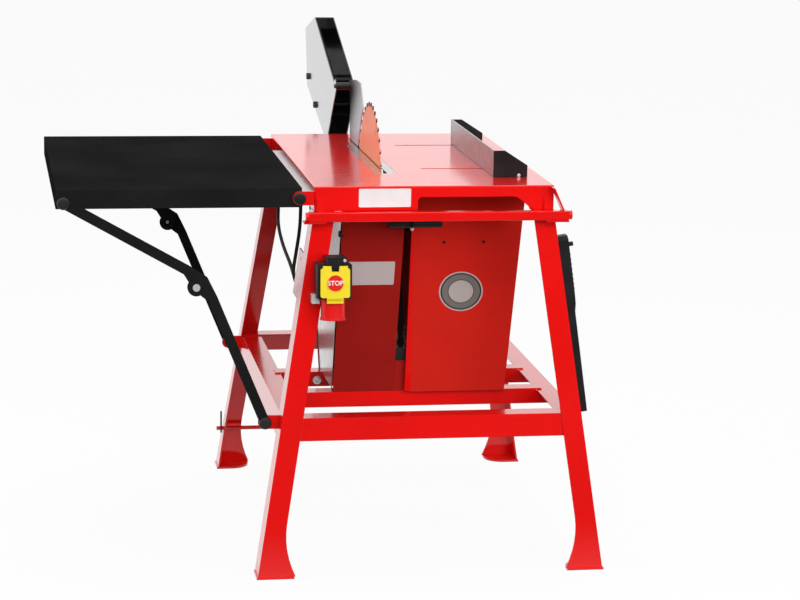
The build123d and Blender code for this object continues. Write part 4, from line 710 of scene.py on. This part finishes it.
PIVOT_Y = 330
PIVOT_Z = 976
FLANGE = (0.0045, 0.370, 0.0016)
FLANGE_CORNER = 0.004
FLANGE_EASE = 0.0005
FLANGE_X = -112.7
FLANGE_ALONG = 215
FLANGE_UNDER = 1
raised = math.radians(18.5)
flange = block("hood_flange", FLANGE)
choose("EDGE", lambda middle, way: along(way.z) and middle.x > 0)
ease(FLANGE_CORNER, steps=5)
choose("EDGE", lambda middle, way: along(way.y) and middle.x > 0)
ease(FLANGE_EASE, steps=2)
put_down()
flange_y = PIVOT_Y + FLANGE_ALONG * math.cos(raised) + FLANGE_UNDER * math.sin(raised)
flange_z = PIVOT_Z + FLANGE_ALONG * math.sin(raised) - FLANGE_UNDER * math.cos(raised)
settle(flange, at(FLANGE_X, flange_y, flange_z), (raised, 0, 0), black_coat, "guard")

# Rip fence: a folded aluminium strip with black end brackets, clamped through the table slots by bolts
# and star knobs underneath. A small zinc plated screw holds each bracket to the strip's foot.
ALUMINIUM = (0.58, 0.57, 0.58, 1)
ALUMINIUM_DULL = (0.50, 0.49, 0.50, 1)
FENCE_SCREW_X = 207
FENCE_SCREW_FRONT = -292
FENCE_SCREW_REAR = 228
FENCE_SCREW_Z = 853.8
satin_aluminium = bare_metal("satin_aluminium", ALUMINIUM, ALUMINIUM_DULL, rough=0.24, streak=(900, 24, 900))
dress(satin_aluminium, "fence_plate")
dress(black_plastic, "fence_ends", "fence_knobs")
dress(zinc, "fence_bolts")
settle_copies(bolt_head("fence_screw", radius=0.0030, height=0.0026),
              [("fence_screw_front", at(FENCE_SCREW_X, FENCE_SCREW_FRONT, FENCE_SCREW_Z), to_front, "fence"),
               ("fence_screw_rear", at(FENCE_SCREW_X, FENCE_SCREW_REAR, FENCE_SCREW_Z), to_back, "fence")],
              zinc)

# Lever: a flat black bar with a plastic cross grip, swinging on a stud in the gap between the housings.
# A zinc plated screw clamps the grip.
dress(black_coat, "lever_bar")
dress(black_plastic, "lever_grip")
grip_screw = bolt_head("grip_screw", radius=0.0032, height=0.003)
settle(grip_screw, at(-40.5, -358.5, 748), to_front, zinc, "lever")

# Switch unit: a black moulded box on a red plate, with a yellow flap hinged over two buttons and a red
# stop disc on the flap. The round red inlet below it takes a plug, and the cable glands are grey.
YELLOW = (0.88, 0.68, 0.02, 1)
YELLOW_PALE = (0.93, 0.76, 0.06, 1)
SIGNAL_RED = (0.76, 0.010, 0.010, 1)
SIGNAL_RED_PALE = (0.82, 0.03, 0.025, 1)
GLAND_GREY = (0.58, 0.62, 0.60, 1)
GLAND_GREY_PALE = (0.70, 0.72, 0.71, 1)
GREEN = (0.02, 0.30, 0.07, 1)
GREEN_PALE = (0.05, 0.38, 0.11, 1)
SHELL_GRIT = 700.0
yellow = moulded("yellow_plastic", YELLOW, YELLOW_PALE, rough=0.26, grit=SHELL_GRIT, strength=0.05,
                 shine=0.4)
red_plastic = moulded("red_plastic", SIGNAL_RED, SIGNAL_RED_PALE, rough=0.26, grit=SHELL_GRIT, strength=0.05,
                      shine=0.4)
grey_plastic = moulded("grey_plastic", GLAND_GREY, GLAND_GREY_PALE, rough=0.34, grit=SHELL_GRIT,
                       strength=0.06, shine=0.4)
green_plastic = moulded("green_plastic", GREEN, GREEN_PALE, rough=0.26, grit=SHELL_GRIT, strength=0.06)
dress(red_coat, "switch_bracket")
dress(black_plastic, "switch_box")
dress(grey_plastic, "cable_glands")
dress(yellow, "stop_flap")
dress(red_plastic, "stop_disc", "stop_button", "inlet_shroud")
dress(green_plastic, "start_button")

SWITCH_MIDDLE = at(-225, -418.658, 660)
FLAP_FACE = 69.5
switch_lean = math.atan(FRONT_SPLAY / LEG_RISE)
face_on = (math.pi / 2 - switch_lean, 0, 0)
down_leg = (-switch_lean, 0, 0)


def on_switch(x, y, z):
    """A place on the switch, in millimetres across, up and out from its middle on the leg."""
    across = Vector((x, 0, 0)) / 1000
    up = Vector((0, math.sin(switch_lean), math.cos(switch_lean))) * y / 1000
    out = Vector((0, -math.cos(switch_lean), math.sin(switch_lean))) * z / 1000
    return SWITCH_MIDDLE + across + up + out


DISC_UP = -9.5
DISC_FACE = 71.65
disc_ring = ring("disc_ring", outer=0.0188, wall=0.0016, height=0.0012)
settle(disc_ring, on_switch(0, DISC_UP, FLAP_FACE), face_on, yellow, "flap")
bpy.ops.object.select_all(action="DESELECT")
bpy.ops.object.text_add()
word = in_hand("stop_word")
word.data.body = "STOP"
word.data.align_x = "CENTER"
word.data.align_y = "CENTER"
word.data.size = 0.0138
word.data.extrude = 0.00015
word.data.offset = 0.00035
bpy.ops.object.convert(target="MESH")
settle(in_hand("stop_word"), on_switch(0, DISC_UP, DISC_FACE), face_on, enamel, "flap")

GRIP_WIDTH = 0.032
GRIP_HEIGHT = 0.006
GRIP_THICK = 0.0003
GROOVE_NEAR = 0.0010
GROOVE_FAR = 0.0022
GROOVE_DEPTH = 0.00022
flap_grip = block("flap_grip", (GRIP_WIDTH, GRIP_HEIGHT, GRIP_THICK), middle=(0, 0, GRIP_THICK / 2))
slice_across((-GROOVE_FAR, -GROOVE_NEAR, GROOVE_NEAR, GROOVE_FAR), BACK_WAY)
choose("FACE", lambda middle, normal: top(middle, normal) and GROOVE_NEAR < abs(middle.y) < GROOVE_FAR)
draw_out(-GROOVE_DEPTH)
put_down()
settle(flap_grip, on_switch(0, -45, FLAP_FACE), face_on, yellow, "flap")
box_screw = bolt_head("box_screw", radius=0.0026, height=0.0016, sides=16)
settle(box_screw, on_switch(20, 38.5, FLAP_FACE), face_on, zinc, "frame")

INLET_OUT = 32
COLLAR_LOW = -92
COLLAR_HIGH = -50.2
settle_copies(ring("inlet_collar", outer=0.0276, wall=0.0020, height=0.005),
              [("inlet_collar_low", on_switch(0, COLLAR_LOW, INLET_OUT), down_leg, "frame"),
               ("inlet_collar_high", on_switch(0, COLLAR_HIGH, INLET_OUT), down_leg, "frame")],
              red_plastic)
KEY = (0.006, 0.003, 0.036)
KEY_EASE = 0.0014
key = block("inlet_key", KEY)
choose("EDGE", lambda middle, way: along(way.z) and middle.y < 0)
ease(KEY_EASE, steps=3)
put_down()
settle(key, on_switch(0, -68, 57.6), down_leg, red_plastic, "frame")

# Leads: two black rubber leads from the back of the switch round the leg and up under the table lip.
# Each end has a tapered, ribbed rubber sleeve.
LEAD_DIAMETER = 0.008


def lead(name, points):
    line = bpy.data.curves.new(name, "CURVE")
    line.dimensions = "3D"
    line.bevel_depth = LEAD_DIAMETER / 2
    line.bevel_resolution = 4
    line.resolution_u = 12
    line.use_fill_caps = True
    run = line.splines.new("NURBS")
    run.points.add(len(points) - 1)
    for knot, point in zip(run.points, points):
        knot.co = (*point, 1)
    run.order_u = 3
    run.use_endpoint_u = True
    line.materials.append(rubber)
    piece = bpy.data.objects.new(name + "_cord", line)
    bpy.context.collection.objects.link(piece)
    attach(piece, "frame")
    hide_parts(name)


motor_lead_top = at(-250, 300, 781)
guard_lead_top = at(-250, -90, 781)
lead("lead_motor", [at(-205, -403.482, 648.789), at(-205, -321.729, 642.429), at(-235, -262, 612),
                    at(-275, -212, 604), at(-268, -70, 616), at(-267, 90, 630), at(-265, 215, 657),
                    at(-256, 285, 695), at(-250, 300, 731), motor_lead_top])
lead("lead_guard", [at(-205, -405.343, 624.861), at(-205, -333.56, 619.277), at(-230, -285, 592),
                    at(-268, -255, 592), at(-284, -222, 622), at(-270, -170, 660), at(-256, -120, 702),
                    at(-250, -90, 735), guard_lead_top])

SLEEVE_WIDE = 0.0078
SLEEVE_NARROW = 0.0050
SLEEVE_LENGTH = 0.026
RIB = 0.002
RIB_SLICES = 10
FIRST_RIB = 2 * RIB
LAST_RIB = FIRST_RIB + RIB * (RIB_SLICES - 1)
RIB_DEPTH = 0.0011
SLEEVE_EASE = 0.0006
SLEEVE_BACK = -16
bpy.ops.object.select_all(action="DESELECT")
bpy.ops.mesh.primitive_cone_add(vertices=24, radius1=SLEEVE_WIDE, radius2=SLEEVE_NARROW,
                                depth=SLEEVE_LENGTH, location=(0, 0, SLEEVE_LENGTH / 2))
sleeve = in_hand("lead_sleeve")
bpy.ops.object.transform_apply(location=True, rotation=True, scale=True)
slice_across([FIRST_RIB + RIB * step for step in range(RIB_SLICES)], UP_WAY)
choose("FACE", lambda middle, normal: not ends(middle, normal) and FIRST_RIB < middle.z < LAST_RIB
       and int(middle.z / RIB) % 2 == 1)
bpy.ops.mesh.extrude_region_shrink_fatten(TRANSFORM_OT_shrink_fatten={"value": -RIB_DEPTH})
choose("FACE", ends)
ease(SLEEVE_EASE, steps=2)
put_down()
downward = (math.pi, 0, 0)
inward = (math.pi / 2 - switch_lean + math.pi, 0, 0)
settle_copies(sleeve, [("sleeve_motor_top", motor_lead_top, downward, "frame"),
                       ("sleeve_guard_top", guard_lead_top, downward, "frame"),
                       ("sleeve_motor_switch", on_switch(20, -10, SLEEVE_BACK), inward, "frame"),
                       ("sleeve_guard_switch", on_switch(20, -34, SLEEVE_BACK), inward, "frame")],
              rubber)

# Side extension: a shallow black tray on two hinge bolts, held up by a pair of folding links on each
# side, with zinc plated screws at their knees. Domed black plastic caps are pushed over the bolt ends.
CAP_BLACK = (0.014, 0.014, 0.015, 1)
CAP_RUBBED = (0.035, 0.035, 0.037, 1)
CAP_RADIUS = 0.0134
CAP_HEIGHT = 0.0088
CAP_DOME = 0.0038
CAP_MIDDLE = 0.001
CAP_WALL = 0.0006
dress(black_coat, "extension_panel", "strut_upper", "strut_lower")
dress(black_plastic, "strut_pins")
dress(zinc, "knee_screws")
cap = round_stock("bolt_cap", CAP_RADIUS, CAP_HEIGHT, sides=40, lift=CAP_HEIGHT / 2)
choose("FACE", top)
ease(CAP_DOME, steps=6)
choose("FACE", lambda middle, normal: top(middle, normal) and middle.to_2d().length < CAP_MIDDLE)
for rim_width, rim_rise in ((0.0035, 0.0006), (0.0030, 0.0003)):
    bpy.ops.mesh.inset(thickness=rim_width, depth=rim_rise)
choose("FACE", lambda middle, normal: normal.z < -ALONG_AXIS)
bpy.ops.mesh.inset(thickness=CAP_WALL, depth=0.0)
put_down()
cap_plastic = moulded("cap_plastic", CAP_BLACK, CAP_RUBBED, rough=0.30, strength=0.10, shine=0.4)
cap_places = []
for name, x, y, z, body in (("hinge_cap", -293, 407.6, 825, "frame"),
                            ("foot_cap", -363.14, 411.8, 335, "frame"),
                            ("strut_cap", -793, 407.2, 818, "extension")):
    cap_places.append((name + "_front", at(x, -y, z), to_front, body))
    cap_places.append((name + "_rear", at(x, y, z), to_back, body))
settle_copies(cap, cap_places, cap_plastic)

# Push stick: one black plastic moulding with the same fine spark texture as the other grips. It hangs on a
# steel peg at the outer side of the right front leg.
dress(black_plastic, "push_stick")

# Studio: a plain pale floor, soft lamps and the camera at the photograph's angle. Gloss sees a white room
# behind, beside and above the saw and a dim one low in front of it.
WHITE = (1, 1, 1, 1)
DIM = (0.05, 0.05, 0.05, 1)
FLOOR_LIT = (0.82, 0.82, 0.82, 1)
FLOOR_BOUNCE = (0.20, 0.20, 0.20, 1)
FLOOR_SIDE = 60
FLOOR_GLOW = 0.94
AIR_STRENGTH = 0.26
SHOWN_TO = ("Is Camera Ray", "Is Glossy Ray", "Is Transmission Ray")


def seen_by(start, *kinds):
    """One for the named kinds of ray and nought for the rest."""
    total = start.node("ShaderNodeLightPath", {}, {}, kinds[0])
    for kind in kinds[1:]:
        total = total + start.node("ShaderNodeLightPath", {}, {}, kind)
    return band(total, low=0.0, high=1.0)


bpy.ops.object.select_all(action="DESELECT")
bpy.ops.mesh.primitive_plane_add(size=FLOOR_SIDE)
floor = in_hand("studio_floor")
pale = bpy.data.materials.new("pale_floor")
pale.use_nodes = True
pale.node_tree.nodes.clear()
start = Wire(pale.node_tree)
ground_place = start.node("ShaderNodeTexCoord", {}, {}, "Object")
forward = band(start.node("ShaderNodeSeparateXYZ", {}, {"Vector": ground_place}, "Y"), low=-0.5, high=-1.4)
dim = forward * seen_by(start, "Is Glossy Ray")
matt_tint = blend(seen_by(start, "Is Diffuse Ray"), FLOOR_LIT, FLOOR_BOUNCE)
matt = start.node("ShaderNodeBsdfDiffuse", {}, {"Color": matt_tint})
glow = start.node("ShaderNodeEmission", {}, {"Color": blend(dim, WHITE, DIM), "Strength": 1.0})
seen = seen_by(start, *SHOWN_TO)
laid = start.node("ShaderNodeMixShader", {}, {0: seen * FLOOR_GLOW, 1: matt, 2: glow})
end = pale.node_tree.nodes.new("ShaderNodeOutputMaterial")
pale.node_tree.links.new(laid.socket, end.inputs["Surface"])
floor.data.materials.append(pale)

studio = bpy.data.worlds.new("studio")
studio.use_nodes = True
studio.node_tree.nodes.clear()
start = Wire(studio.node_tree)
way = start.node("ShaderNodeTexCoord", {}, {}, "Generated")
forward = band(start.node("ShaderNodeSeparateXYZ", {}, {"Vector": way}, "Y"), low=0.05, high=-0.35)
low_down = band(start.node("ShaderNodeSeparateXYZ", {}, {"Vector": way}, "Z"), low=0.34, high=0.16)
dim = forward * low_down * seen_by(start, "Is Glossy Ray")
air = start.node("ShaderNodeBackground", {}, {"Color": WHITE, "Strength": AIR_STRENGTH})
white = start.node("ShaderNodeBackground", {}, {"Color": blend(dim, WHITE, DIM), "Strength": 1.0})
seen = seen_by(start, *SHOWN_TO)
sky = start.node("ShaderNodeMixShader", {}, {0: seen, 1: air, 2: white})
end = studio.node_tree.nodes.new("ShaderNodeOutputWorld")
studio.node_tree.links.new(sky.socket, end.inputs["Surface"])
bpy.context.scene.world = studio

LAMPS_AIM_AT = Vector((0.1, -0.1, 0.6))
for name, place, size, power in (("key_lamp", (-0.2, -6.0, 3.4), 3.4, 185),
                                 ("fill_lamp", (2.8, -5.0, 2.2), 3.0, 130),
                                 ("top_lamp", (0.2, 0.4, 4.2), 3.0, 88),
                                 ("side_lamp", (-4.4, -0.8, 2.2), 2.4, 100)):
    lamp = bpy.data.lights.new(name, "AREA")
    lamp.energy = power
    lamp.size = size
    stand = bpy.data.objects.new(name, lamp)
    aim = LAMPS_AIM_AT - Vector(place)
    stand.matrix_world = Matrix.Translation(place) @ aim.to_track_quat("-Z", "Y").to_matrix().to_4x4()
    stand.visible_camera = False
    stand.visible_glossy = False
    bpy.context.collection.objects.link(stand)

CAMERA_YAW = -0.166389
CAMERA_PITCH = -0.200552
CAMERA_ROLL = -0.0194527
lens = bpy.data.cameras.new("photo_camera")
lens.sensor_width = 36.0
lens.lens = 117.40
lens.clip_end = 200
camera = bpy.data.objects.new("photo_camera", lens)
stand_at = at(-987.0803, -5855.5426, 1724.2228)
turn = Matrix.Rotation(CAMERA_YAW, 4, "Z") @ Matrix.Rotation(CAMERA_PITCH, 4, "X")
turn = turn @ Matrix.Rotation(CAMERA_ROLL, 4, "Y")
camera.matrix_world = Matrix.Translation(stand_at) @ turn @ Matrix.Rotation(math.pi / 2, 4, "X")
bpy.context.collection.objects.link(camera)
bpy.context.scene.camera = camera
bpy.context.scene.view_settings.view_transform = "Standard"
